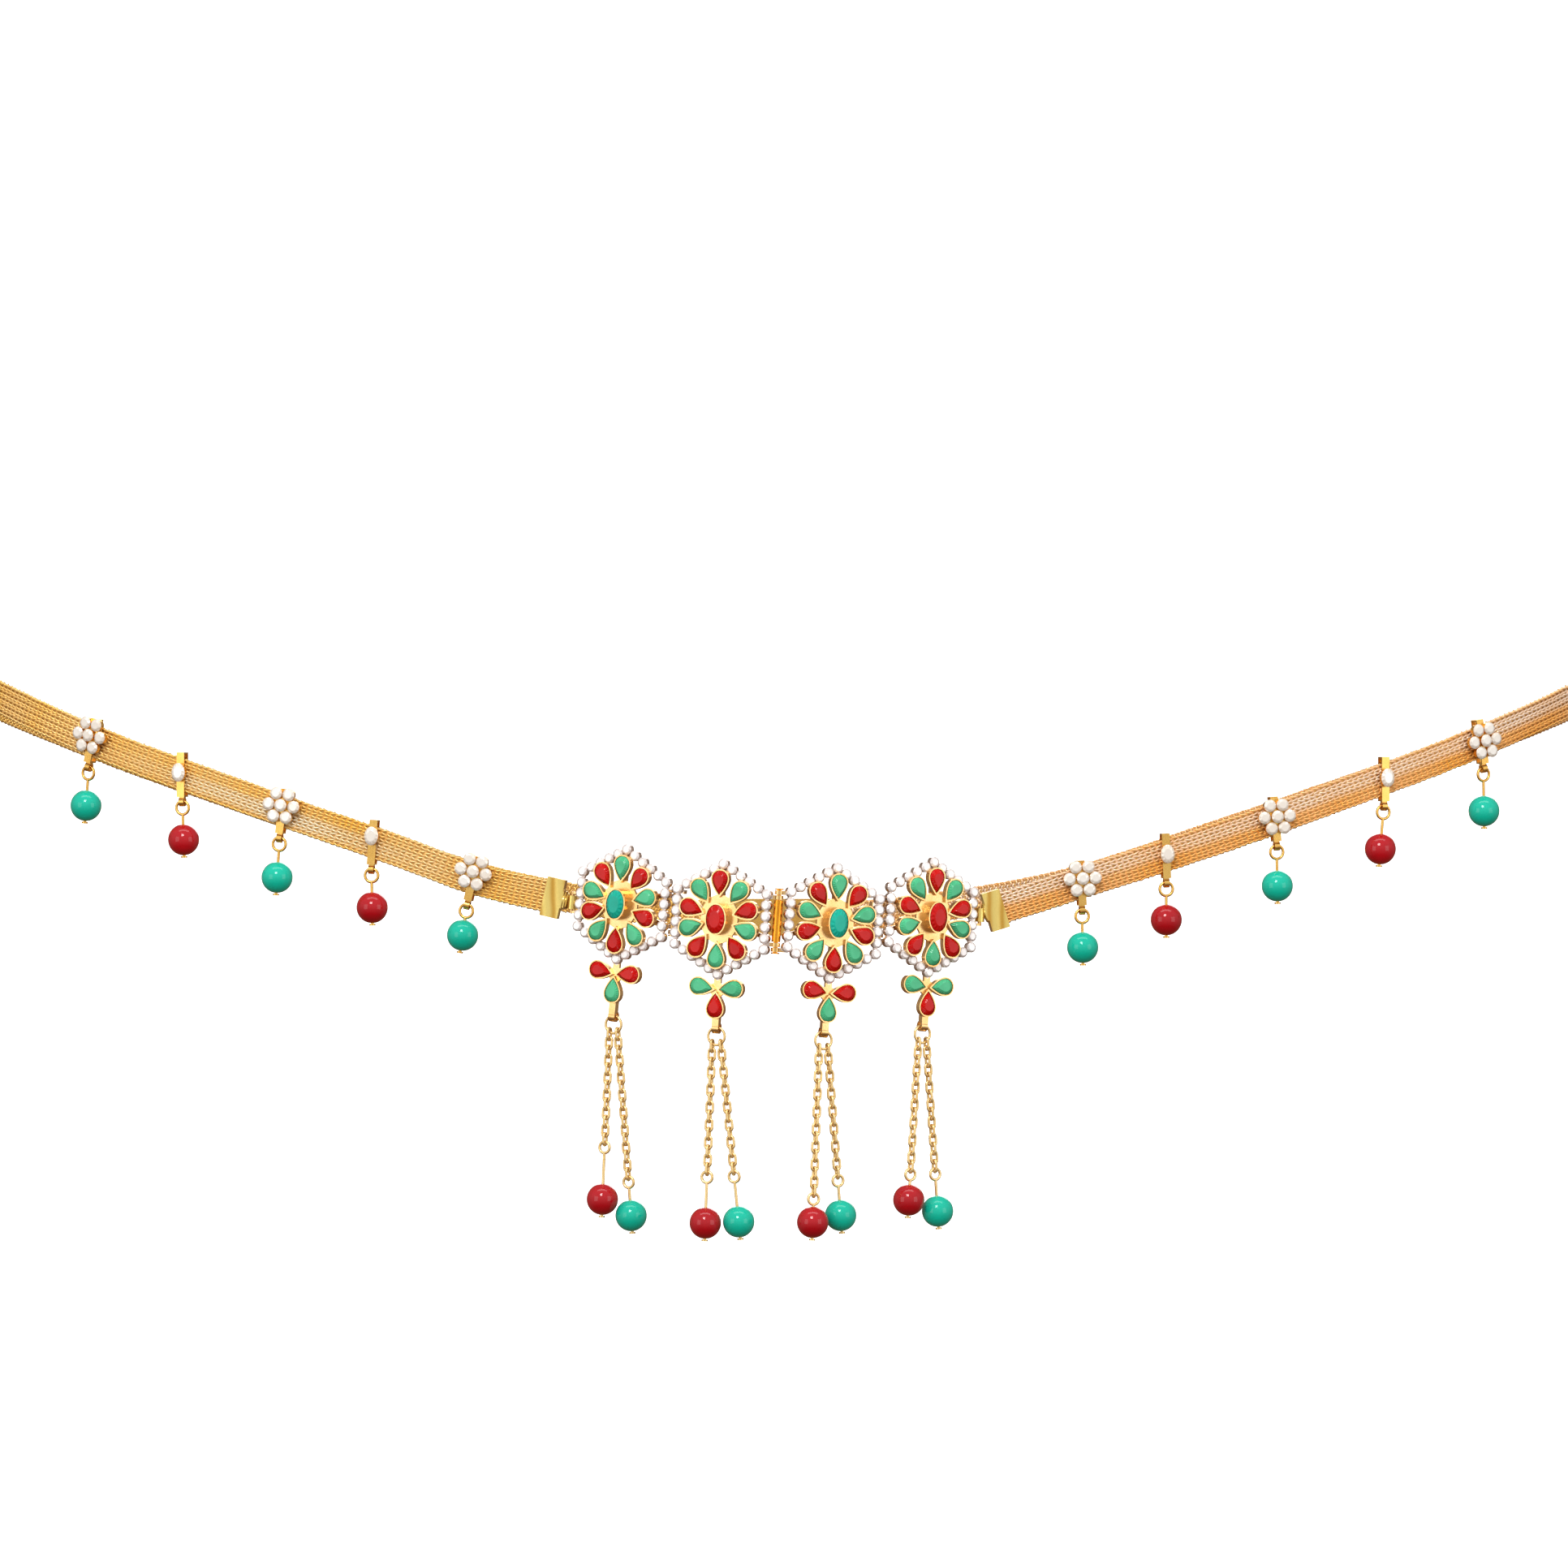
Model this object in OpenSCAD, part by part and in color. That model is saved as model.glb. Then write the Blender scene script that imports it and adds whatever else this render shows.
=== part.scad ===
// Waist belt worn at the hips: a woven band, four hinged flower plaques, hanging chains and beads.
// X runs across the wearer, the front faces -Y and Z is up. The origin is the middle of the waist.

/* [Belt loop] */
// Width of the loop from side to side
loop_width = 392; // [350:1:440]
// Depth from the middle of the waist to the fold between the two middle plaques
front_depth = 118; // [105:1:135]
// Depth from the middle of the waist to the band at the back
back_depth = 112; // [98:1:130]
// Height of the band over the hips
side_height = 31; // [22:1:40]
// How far the plaques hang below the waist's middle
front_drop = 29.9; // [22:0.1:38]
// How far the band at the back hangs below the waist's middle
back_drop = 31.8; // [24:0.1:40]
// How far the fold between the plaques lies to the left of the middle
fold_shift = 1.5; // [0:0.1:4]

/* [Woven band] */
// Height of the woven band
band_height = 7.5; // [6:0.1:9]
// Thickness of the woven band
band_thick = 1.3; // [1:0.1:1.8]
// Width of the bevel along the band's edges
band_bevel = 0.4; // [0.2:0.05:0.45]
// Gap left round the band inside caps and clips
band_play = 0.15; // [0.1:0.05:0.3]

/* [Plaques] */
// Distance from a plaque's centre to the corner stones of its rim
rim_radius = 12.25; // [11.8:0.05:13]
// Width of one small cup on the rim
rim_cup = 2.3; // [2.1:0.05:2.35]
// Width of the stone's seat in a rim cup
rim_seat = 1.95; // [1.7:0.05:2]
// Height of the rim cups
rim_height = 1.2; // [1.1:0.05:1.2]
// Thickness of the rim strip and of the spokes
plate_thick = 0.7; // [0.6:0.05:0.8]
// Width of the strip that carries the rim cups
strip_width = 1; // [0.7:0.1:1.3]
// Gap between the rims of plaques that lie side by side
rim_gap = 0.5; // [0.4:0.1:1.2]
// Gap between the rims at the fold, where the barrel shows
fold_gap = 2.4; // [2.3:0.1:3.4]

/* [Flowers] */
// Height of the flower's plate above the back of the rim
flower_lift = 1.3; // [1.3:0.1:2.4]
// Height of the trefoil's plate above the back of the rim
trefoil_lift = 0.1; // [0:0.1:1]
// Distance from the flower's centre to the side petals' round ends
flower_reach_x = 9.2; // [9:0.1:9.5]
// Distance from the flower's centre to the top petal's round end
flower_reach_y = 10.7; // [10.3:0.1:11]
// Width of the oval centre stone
centre_width = 4.2; // [3.6:0.1:4.5]
// Height of the oval centre stone
centre_height = 6.3; // [5.8:0.1:6.8]
// Width of a pear stone
pear_width = 3.5; // [3:0.1:3.6]
// Length of a pear stone
pear_length = 5.1; // [4.8:0.1:5.3]
// Height of the oval centre stone above the petals
centre_lift = 1.5; // [1:0.1:2.2]
// Metal left round a stone
bezel = 0.4; // [0.3:0.05:0.45]
// Depth of a stone's seat
seat_depth = 0.8; // [0.7:0.05:1]
// Whole height of a pear or oval stone
stone_height = 1.5; // [1.3:0.1:1.8]
// Gap between a stone and its seat
stone_play = 0.14; // [0.05:0.01:0.15]
// Distance from a plaque's centre down to the middle of its trefoil
trefoil_drop = 15.7; // [15.4:0.1:17]

/* [Hinges] */
// Thickness of a hinge rod
rod_width = 1; // [0.8:0.05:1.1]
// Width of the barrel at the fold
barrel_width = 2; // [1.9:0.05:2.2]
// Length of the barrel at the fold
barrel_length = 9.2; // [8:0.1:9.4]
// Width of the bore in a hinge lug
lug_bore = 1.4; // [1.35:0.05:1.5]
// Height of a hinge lug
lug_height = 0.9; // [0.7:0.1:1]

/* [End caps and clasp] */
// Depth to which the band sits in a cap
cap_depth = 3.6; // [2.8:0.1:4.4]
// Wall of the caps and of the clasp
cap_wall = 0.5; // [0.4:0.05:0.8]
// Length of the left cap's neck
neck_left = 1.4; // [1:0.1:2.6]
// Length of the right cap's neck
neck_right = 0.6; // [0.4:0.1:2]
// Height of the eyes at the ends above the plaques' centres
eye_rise = 0.4; // [0:0.1:2]
// Length of the plain clasp
clasp_length = 24; // [18:1:32]

/* [Settings on the band] */
// Width of a clip that holds a setting to the band
clip_width = 1.8; // [1.6:0.1:1.9]
// Length of the tubes that the drops' loops run through
tube_length = 1.2; // [1:0.1:1.3]
// Thickness of the clip's metal
clip_thick = 0.4; // [0.3:0.05:0.6]
// Width of a small round cup in a flower setting
flower_cup = 2.6; // [2.4:0.05:2.7]
// Distance from the middle cup to the cups round it
flower_ring = 2.95; // [2.9:0.05:3.2]
// Width of a single stone's oval cup
single_width = 3; // [2.8:0.1:3.4]
// Height of a single stone's oval cup
single_height = 3.9; // [3.6:0.1:4.4]
// Height of the cups above their plate
cup_height = 1; // [0.8:0.1:1.3]

/* [Beads, pins and chains] */
// Width of a round bead
bead_width = 7; // [6:0.1:8]
// Width of the hole through a bead
bead_bore = 0.95; // [0.9:0.05:1.1]
// Thickness of the pins' wire
pin_wire = 0.65; // [0.5:0.05:0.7]
// Radius of the round loop on a band pin, to the middle of its wire
pin_loop = 1.5; // [1.4:0.05:1.6]
// Radius of the eye on a chain pin, to the middle of its wire
eye_loop = 1.25; // [1.2:0.05:1.4]
// Thickness of a chain link's wire
link_wire = 0.6; // [0.5:0.05:0.6]
// Width of a chain link over its wire
link_width = 2.1; // [2.05:0.05:2.2]
// Length of a chain link over its wire
link_length = 3.3; // [3.25:0.05:3.4]
// Distance between the centres of neighbouring links
link_pitch = 1.95; // [1.9:0.01:1.98]
// Radius of a tassel's ring, to the middle of its wire
tassel_ring_radius = 1.95; // [1.9:0.05:2.2]
// Thickness of a tassel ring's wire
tassel_ring_wire = 0.6; // [0.6:0.05:0.75]

/* [Hidden] */
$fn = 48;

LEFT = -1;
RIGHT = 1;

// One row for each plaque from left to right: turn of its face about Z, lean of its top to the
// right, rise above front_drop, whether its centre stone is red, and how much lower its tassel's
// tube sits.
TURN = 0;
LEAN = 1;
RISE = 2;
RED_CENTRE = 3;
BAIL_MORE = 4;
PLAQUES = [
    [-28, 6.5, 3.2, false, 0.9],
    [-21, 3.5, 0, true, 0],
    [22, 4.5, -0.9, false, 0],
    [30, 3.5, 0.3, true, 0],
];

// The band's way from an end cap to the side of the hip, in shares of that width, depth and rise:
// across, back, up on the left, up on the right.
ACROSS = 0;
BACK = 1;
UP_LEFT = 2;
UP_RIGHT = 3;
FRONT_WAY = [
    [0.125, 0.035, 0.075, 0.100],
    [0.260, 0.077, 0.200, 0.208],
    [0.400, 0.125, 0.323, 0.325],
    [0.535, 0.187, 0.447, 0.447],
    [0.670, 0.270, 0.572, 0.571],
    [0.795, 0.385, 0.706, 0.700],
    [0.900, 0.550, 0.835, 0.822],
    [0.970, 0.765, 0.935, 0.925],
];
// The band's way from the clasp to the side of the hip, in shares: across, forward, up.
FORE = 1;
UP = 2;
BACK_WAY = [
    [0.166, 0.013, 0.045],
    [0.326, 0.040, 0.137],
    [0.487, 0.085, 0.295],
    [0.636, 0.161, 0.449],
    [0.765, 0.272, 0.588],
    [0.861, 0.411, 0.704],
    [0.936, 0.580, 0.804],
    [0.979, 0.777, 0.897],
];
// How the band leaves each cap: turn in plan and climb, in degrees.
CAP_TURN = 11;
CAP_CLIMB = [13, 17];

// One row for each drop, counted from the end cap: distance along the band, whether it is a flower,
// whether its bead is green, height of the setting above the band's middle, distance from the
// band's middle down to the bead, swing of the bead to the right and lean of the clip's foot to the
// right, both in degrees.
ALONG = 0;
IS_FLOWER = 1;
IS_GREEN = 2;
LIFT = 3;
HANG = 4;
SWING = 5;
FOOT_LEAN = 6;
DROPS_LEFT = [
    [20.2, true, true, 1.6, 12.9, -9, -14],
    [44.6, false, false, 1.4, 14.6, 1, -4],
    [66.6, true, true, 1.3, 14.9, -4, -8],
    [92.1, false, false, 0.5, 14.6, 2, 0],
    [116.0, true, true, 1.2, 14.8, -5, -12],
];
DROPS_RIGHT = [
    [22.0, true, true, 1.0, 14.4, 1, 3],
    [42.3, false, false, 0.4, 14.3, 0, 2],
    [68.8, true, true, 0.5, 15.0, 1, 5],
    [96.4, false, false, 0.3, 15.7, -5, 0],
    [122.3, true, true, 0.2, 15.7, 1, 9],
];

// One row for each tassel chain: number of links, bare pin above the bead, swing to the right and
// swing to the front in degrees.
LINKS = 0;
BARE_PIN = 1;
SIDE_SWING = 2;
FRONT_SWING = 3;
RED_CHAINS = [
    [13, 6.8, -2.4, 0.8],
    [15, 5.4, -2.2, 0.8],
    [17, 0.4, -2.1, 2.6],
    [15, 0.9, -3.5, 1.9],
];
GREEN_CHAINS = [
    [17, 2.7, 4.2, -0.8],
    [15, 5.3, 5.7, -0.8],
    [15, 3.0, 4.4, -2.6],
    [15, 3.5, 3.8, -1.9],
];

// Angles of the ten petals and of the trefoil's leaves, and where the chains hang on their ring.
PETAL_STEP = 36;
LEAF_ANGLES = [172, 6, 270];
CHAIN_SEAT = 32;
STONES_PER_SIDE = 5;
PEAR_BULGE = 1.7;
SPOKES = [18, 90, 162, 198, 270, 342];
SEAT_SLACK = 0.16;

// Colours as the photo shows them.
GOLD = [0.86, 0.62, 0.24];
MESH_GOLD = [0.85, 0.58, 0.28];
RED_STONE = [0.78, 0.08, 0.14];
GREEN_STONE = [0.27, 0.74, 0.55];
TEAL_STONE = [0.12, 0.68, 0.62];
RED_BEAD = [0.65, 0.08, 0.14];
GREEN_BEAD = [0.08, 0.65, 0.55];

// Places worked out from the sizes above.
rim_half = rim_radius * cos(30) + rim_cup / 2;
pear_round = pear_width / 2;
pear_tip = pear_length - pear_round;
cup_top = seat_depth + plate_thick;
girdle = seat_depth + plate_thick - 0.15;
bead_radius = bead_width / 2;
eye_radius = lug_bore / 2 + 0.35;
eye_reach = eye_radius + 0.2;
link_half = link_length / 2 - link_wire / 2;
link_bend = link_width / 2 - link_wire / 2;
link_straight = 2 * (link_half - link_bend);

// Unit vectors of a face that is turned about Z: along it, and out of it.
function along(turn) = [cos(turn), sin(turn), 0];
function outward(turn) = [sin(turn), -cos(turn), 0];

// Centres of the plaques, walked outwards from the fold.
fold_point = [-fold_shift, -front_depth, -front_drop];
function half_step(i, way) = way * rim_half * along(PLAQUES[i][TURN]);
function flat(p) = [p.x, p.y, 0];
function centre_flat(i) =
    i == 1 ? flat(fold_point) - [fold_gap / 2, 0, 0] + half_step(1, LEFT)
    : i == 2 ? flat(fold_point) + [fold_gap / 2, 0, 0] + half_step(2, RIGHT)
    : i == 0 ? centre_flat(1) + half_step(1, LEFT) + half_step(0, LEFT) - [rim_gap, 0, 0]
    : centre_flat(2) + half_step(2, RIGHT) + half_step(3, RIGHT) + [rim_gap, 0, 0];
function plaque_centre(i) = centre_flat(i) + [0, 0, PLAQUES[i][RISE] - front_drop];
function rim_edge(i, way) = plaque_centre(i) + half_step(i, way);

// A point of a plaque's own plane (u to the right, v up, w out of its face) as a place in the belt.
function leaned(p, lean) = [p.x * cos(lean) + p.y * sin(lean), -p.z, p.y * cos(lean) - p.x * sin(lean)];
function turned(p, turn) = [p.x * cos(turn) - p.y * sin(turn), p.x * sin(turn) + p.y * cos(turn), p.z];
function on_plaque(i, p) =
    plaque_centre(i) + turned(leaned(p, PLAQUES[i][LEAN]), PLAQUES[i][TURN]);

// Hinge lines: each row of HINGES is a place, a turn and a lean. The first and last are the eyes
// that hold the end caps, and the others lie between the plaques.
function hinge_between(i, back) = let (
    turn = (PLAQUES[i][TURN] + PLAQUES[i + 1][TURN]) / 2,
    lean = (PLAQUES[i][LEAN] + PLAQUES[i + 1][LEAN]) / 2
) [(rim_edge(i, RIGHT) + rim_edge(i + 1, LEFT)) / 2 - back * outward(turn), turn, lean];
function end_eye(i, way) = [
    rim_edge(i, way) + way * eye_reach * along(PLAQUES[i][TURN])
        + plate_thick / 2 * outward(PLAQUES[i][TURN]) + [0, 0, eye_rise],
    PLAQUES[i][TURN], PLAQUES[i][LEAN]
];
PLACE = 0;
HINGE_TURN = 1;
HINGE_LEAN = 2;
rod_back = lug_bore / 2 + 0.55;
HINGES = [
    end_eye(0, LEFT), hinge_between(0, rod_back), hinge_between(1, 0),
    hinge_between(2, rod_back), end_eye(3, RIGHT),
];

// Heights of the lugs on a hinge: those of the plaque on its left, then those on its right.
rod_lugs = [3.4, 4.6];
fold_lugs = [barrel_length / 2 + 0.2 + lug_height / 2, barrel_length / 2 + 0.4 + 1.5 * lug_height];
function lug_levels(k) = k == 2 ? fold_lugs : rod_lugs;

// The band's centre line on one side, as a smooth curve through the rows of the two tables.
function way_index(way) = way == LEFT ? 0 : 1;
function neck_length(way) = way == LEFT ? neck_left : neck_right;
function neck_reach(way) = eye_radius - 0.15 + neck_length(way) + cap_wall;
function cap_heading(way) = let (climb = CAP_CLIMB[way_index(way)])
    [way * cos(CAP_TURN) * cos(climb), sin(CAP_TURN) * cos(climb), sin(climb)];
function band_start(way) =
    HINGES[way == LEFT ? 0 : 4][PLACE] + neck_reach(way) * cap_heading(way);
function side_point(way) = [way * loop_width / 2, 0, side_height];
function band_end(way) = [way * (clasp_length / 2 - cap_depth), back_depth, -back_drop];
function between(a, b, s) = [a.x + (b.x - a.x) * s.x, a.y + (b.y - a.y) * s.y, a.z + (b.z - a.z) * s.z];
function band_stops(way) = let (
    up = way == LEFT ? UP_LEFT : UP_RIGHT,
    rows = len(BACK_WAY)
) concat(
    [band_start(way)],
    [for (r = FRONT_WAY) between(band_start(way), side_point(way), [r[ACROSS], r[BACK], r[up]])],
    [side_point(way)],
    [for (i = [rows - 1:-1:0]) let (r = BACK_WAY[i])
        between(band_end(way), side_point(way), [r[ACROSS], r[FORE], r[UP]])],
    [band_end(way)]
);
function with_leads(stops, start_heading, end_heading) = let (n = len(stops)) concat(
    [stops[1] - 2 * norm(stops[1] - stops[0]) * start_heading],
    stops,
    [stops[n - 2] + 2 * norm(stops[n - 1] - stops[n - 2]) * end_heading]
);
function spline(a, b, c, d, t) = 0.5 * (2 * b + (c - a) * t + (2 * a - 5 * b + 4 * c - d) * t * t
    + (3 * b - a - 3 * c + d) * t * t * t);
STEPS_PER_STOP = 8;
function smooth(p) = [
    for (i = [1:len(p) - 3]) for (k = [0:STEPS_PER_STOP - 1])
        spline(p[i - 1], p[i], p[i + 1], p[i + 2], k / STEPS_PER_STOP),
    p[len(p) - 2]
];
function running_lengths(p) = [
    for (i = 0, s = 0; i < len(p); s = s + (i + 1 < len(p) ? norm(p[i + 1] - p[i]) : 0), i = i + 1) s
];
function band_curve(way) =
    smooth(with_leads(band_stops(way), cap_heading(way), [-way, 0, 0]));
CURVES = [band_curve(LEFT), band_curve(RIGHT)];
LENGTHS = [running_lengths(CURVES[0]), running_lengths(CURVES[1])];
function axis_table(side, axis) = [for (i = [0:len(CURVES[side]) - 1]) [LENGTHS[side][i], CURVES[side][i][axis]]];
TABLES = [for (side = [0, 1]) [for (axis = [0:2]) axis_table(side, axis)]];
function band_length(side) = LENGTHS[side][len(LENGTHS[side]) - 1];
function band_at(side, s) = [for (axis = [0:2]) lookup(s, TABLES[side][axis])];
function unit(v) = v / norm(v);
function band_heading(side, s) = unit(band_at(side, s + 0.5) - band_at(side, s - 0.5));
function band_up(t) = unit([0, 0, 1] - t.z * t);
function band_turn(side, s) = let (t = band_heading(side, s) * (side == 0 ? -1 : 1)) atan2(t.y, t.x);

// Outlines, as points in a plane.
function oval(width, height, n) = [
    for (i = [0:n - 1]) [width / 2 * cos(i * 360 / n), height / 2 * sin(i * 360 / n)]
];
// A pear whose round end faces +Y, with its round end's centre at the origin: half a circle, then
// flanks that bulge on their way down to the tip.
function pear(round_r, tip, n) = let (half = n / 2, flank = [for (i = [1:half - 1]) i / half]) concat(
    [for (i = [0:half]) round_r * [cos(180 * i / half), sin(180 * i / half)]],
    [for (t = flank) [-round_r * (1 - pow(t, PEAR_BULGE)), -tip * t]],
    [[0, -tip]],
    [for (i = [half - 2:-1:0]) [round_r * (1 - pow(flank[i], PEAR_BULGE)), -tip * flank[i]]]
);
function grown_tip(grow) = pear_tip * (1 + grow / pear_round);
function hexagon(radius) = [for (i = [0:5]) radius * [sin(60 * i), cos(60 * i)]];
// Distance from the flower's centre to the middle of the round end of the petal at an angle.
function petal_place(a) =
    1 / sqrt(pow(cos(a) / flower_reach_x, 2) + pow(sin(a) / flower_reach_y, 2)) - pear_round;
leaf_place = pear_tip + 1;

// Puts children, drawn face up, on a petal's or a leaf's place.
module at_petal(a) { translate(petal_place(a) * [cos(a), sin(a)]) rotate(a - 90) children(); }
module at_leaf(a) {
    translate([0, -trefoil_drop] + leaf_place * [cos(a), sin(a)]) rotate(a - 90) children();
}
module on_face(i) {
    translate(plaque_centre(i)) rotate([0, 0, PLAQUES[i][TURN]]) rotate([0, PLAQUES[i][LEAN], 0])
        rotate([90, 0, 0]) children();
}
module on_hinge(k) {
    translate(HINGES[k][PLACE]) rotate([0, 0, HINGES[k][HINGE_TURN]])
        rotate([0, HINGES[k][HINGE_LEAN], 0]) children();
}
module ring_of_wire(radius, wire) { rotate_extrude() translate([radius, 0]) circle(d = wire); }

// A cut stone that stands on its back: girdle, crown and flat table, scaled from one outline.
module cut_stone(outline, middle) {
    levels = [
        [stone_play, 0.80], [girdle - plate_thick - 0.1, 1.0], [girdle - plate_thick + 0.05, 1.0],
        [stone_height * 0.76, 0.86], [stone_height, 0.58],
    ];
    n = len(outline);
    top = len(levels) - 1;
    points = [for (l = levels) for (p = outline) let (q = middle + (p - middle) * l[1]) [q.x, q.y, l[0]]];
    faces = concat(
        [[for (i = [0:n - 1]) i]],
        [for (k = [0:top - 1]) for (i = [0:n - 1])
            [k * n + i, (k + 1) * n + i, (k + 1) * n + (i + 1) % n, k * n + (i + 1) % n]],
        [[for (i = [n - 1:-1:0]) top * n + i]]
    );
    polyhedron(points, faces);
}
module pear_stone() { cut_stone(pear(pear_round, pear_tip, 10), [0, -0.2 * pear_tip]); }

// Outlines of the metal under and round the stones.
module pear_cup(n = 18) { polygon(pear(pear_round + bezel, grown_tip(bezel), n)); }
module pear_seat(n = 18) { polygon(pear(pear_round + stone_play, grown_tip(stone_play), n)); }
module petal_angles_do() { for (k = [0:9]) at_petal(90 + k * PETAL_STEP) children(); }
module leaf_angles_do() { for (a = LEAF_ANGLES) at_leaf(a) children(); }

module rim_metal() {
    side_pitch = rim_radius / STONES_PER_SIDE;
    difference() {
        union() {
            linear_extrude(plate_thick) difference() {
                polygon(hexagon(rim_radius + strip_width / 2));
                polygon(hexagon(rim_radius - strip_width / 2));
            }
            for (side = [0:5]) rotate(60 * side) for (k = [0:STONES_PER_SIDE - 1])
                translate([k * side_pitch * cos(30), rim_radius - k * side_pitch / 2])
                    cylinder(h = rim_height, d = rim_cup);
        }
        for (side = [0:5]) rotate(60 * side) for (k = [0:STONES_PER_SIDE - 1])
            translate([k * side_pitch * cos(30), rim_radius - k * side_pitch / 2, plate_thick])
                cylinder(h = rim_height, d = rim_seat);
    }
}

module spokes_and_post() {
    for (a = SPOKES) rotate(a) translate([0, -0.5, 0])
        cube([rim_radius * (a % 180 == 90 ? 1 : cos(30) / abs(cos(a))) - 0.1, 1, plate_thick]);
    cylinder(h = flower_lift + plate_thick / 2, r = 2);
}

module flower_metal() {
    translate([0, 0, flower_lift]) difference() {
        union() {
            linear_extrude(plate_thick) union() {
                polygon(oval(centre_width + 4.6, centre_height + 4.6, 24));
                petal_angles_do() pear_cup();
            }
            linear_extrude(cup_top) petal_angles_do() pear_cup();
            linear_extrude(centre_lift + cup_top)
                polygon(oval(centre_width + 2 * bezel, centre_height + 2 * bezel, 24));
        }
        translate([0, 0, plate_thick]) linear_extrude(cup_top) petal_angles_do() pear_seat();
        translate([0, 0, centre_lift + plate_thick]) linear_extrude(cup_top)
            polygon(oval(centre_width + 2 * stone_play, centre_height + 2 * stone_play, 24));
    }
}

// The trefoil, its stem to the rim's lowest corner and the tube that the ring runs through.
function bail_drop(i) = trefoil_drop + leaf_place + pear_round + bezel + 2.05 + PLAQUES[i][BAIL_MORE];
bail_bore = 1.6;
bail_width = 1.6;
bail_level = trefoil_lift - 0.4;
module trefoil_metal(i) {
    bail_joint = trefoil_lift + plate_thick - bail_level;
    translate([-0.8, -trefoil_drop, 0])
        cube([1.6, trefoil_drop - rim_radius + 0.3, trefoil_lift + plate_thick]);
    translate([0, 0, trefoil_lift]) difference() {
        union() {
            linear_extrude(plate_thick) union() {
                translate([0, -trefoil_drop]) circle(r = 1.7);
                leaf_angles_do() pear_cup();
            }
            linear_extrude(cup_top) leaf_angles_do() pear_cup();
        }
        translate([0, 0, plate_thick]) linear_extrude(cup_top) leaf_angles_do() pear_seat();
    }
    translate([-bail_width / 2, -bail_drop(i), bail_level]) rotate([0, 90, 0]) difference() {
        union() {
            cylinder(h = bail_width, d = bail_bore + 0.8);
            translate([-bail_joint, 0, 0])
                cube([bail_joint + 0.5, bail_drop(i) - trefoil_drop - leaf_place - pear_round, bail_width]);
        }
        translate([0, 0, -1]) cylinder(h = bail_width + 2, d = bail_bore);
    }
}

// A lug of a plaque: an eye round the hinge rod and a tab that reaches the rim on that side.
module lug(k, way, level) {
    tab_front = k == 2 ? 0.6 : rod_back + 0.4;
    tab_back = k == 2 ? 0.5 : 0;
    on_hinge(k) translate([0, 0, level - lug_height / 2]) difference() {
        union() {
            cylinder(h = lug_height, d = lug_bore + 0.6);
            translate([way == RIGHT ? 0.6 : -2.8, -tab_front, 0])
                cube([2.2, tab_front + tab_back, lug_height]);
        }
        translate([0, 0, -1]) cylinder(h = lug_height + 2, d = lug_bore);
    }
}
module end_staple(k, way) {
    on_hinge(k) {
        translate([0, 0, -2.4]) cylinder(h = 4.8, d = rod_width - 0.1);
        for (level = [-2.4, 1.9])
            translate([way == LEFT ? 0 : -eye_reach - 1.3, -plate_thick / 2, level])
                cube([eye_reach + 1.3, plate_thick, 0.5]);
    }
}

module plaque(i) {
    color(GOLD) union() {
        on_face(i) {
            rim_metal();
            spokes_and_post();
            flower_metal();
            trefoil_metal(i);
        }
        if (i > 0) for (s = [-1, 1]) lug(i, RIGHT, s * lug_levels(i)[1]);
        if (i < 3) for (s = [-1, 1]) lug(i + 1, LEFT, s * lug_levels(i + 1)[0]);
        if (i == 0) end_staple(0, LEFT);
        if (i == 3) end_staple(4, RIGHT);
    }
}

module centre_stone(i) {
    color(PLAQUES[i][RED_CENTRE] ? RED_STONE : TEAL_STONE) on_face(i)
        translate([0, 0, flower_lift + centre_lift + plate_thick])
            cut_stone(oval(centre_width, centre_height, 16), [0, 0]);
}

// Petals of one colour, with the trefoil's leaves of that colour. The top petal is red where the
// centre stone is red, and the trefoil's lowest leaf follows the top petal.
module petals(i, red) {
    top_first = red == PLAQUES[i][RED_CENTRE];
    color(red ? RED_STONE : GREEN_STONE) on_face(i) {
        translate([0, 0, flower_lift + plate_thick]) for (k = [top_first ? 0 : 1:2:9])
            at_petal(90 + k * PETAL_STEP) pear_stone();
        translate([0, 0, trefoil_lift + plate_thick]) for (k = top_first ? [2] : [0, 1])
            at_leaf(LEAF_ANGLES[k]) pear_stone();
    }
}

module hinge_rod(k) {
    top = lug_levels(k)[1] + lug_height / 2 + 0.15;
    color(GOLD) on_hinge(k) {
        translate([0, 0, -top - 0.3]) cylinder(h = 2 * top + 0.6, d = rod_width);
        for (level = [-top - 0.3, top]) translate([0, 0, level]) cylinder(h = 0.3, d = rod_width + 0.9);
        if (k == 2) translate([0, 0, -barrel_length / 2]) cylinder(h = barrel_length, d = barrel_width);
    }
}

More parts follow.
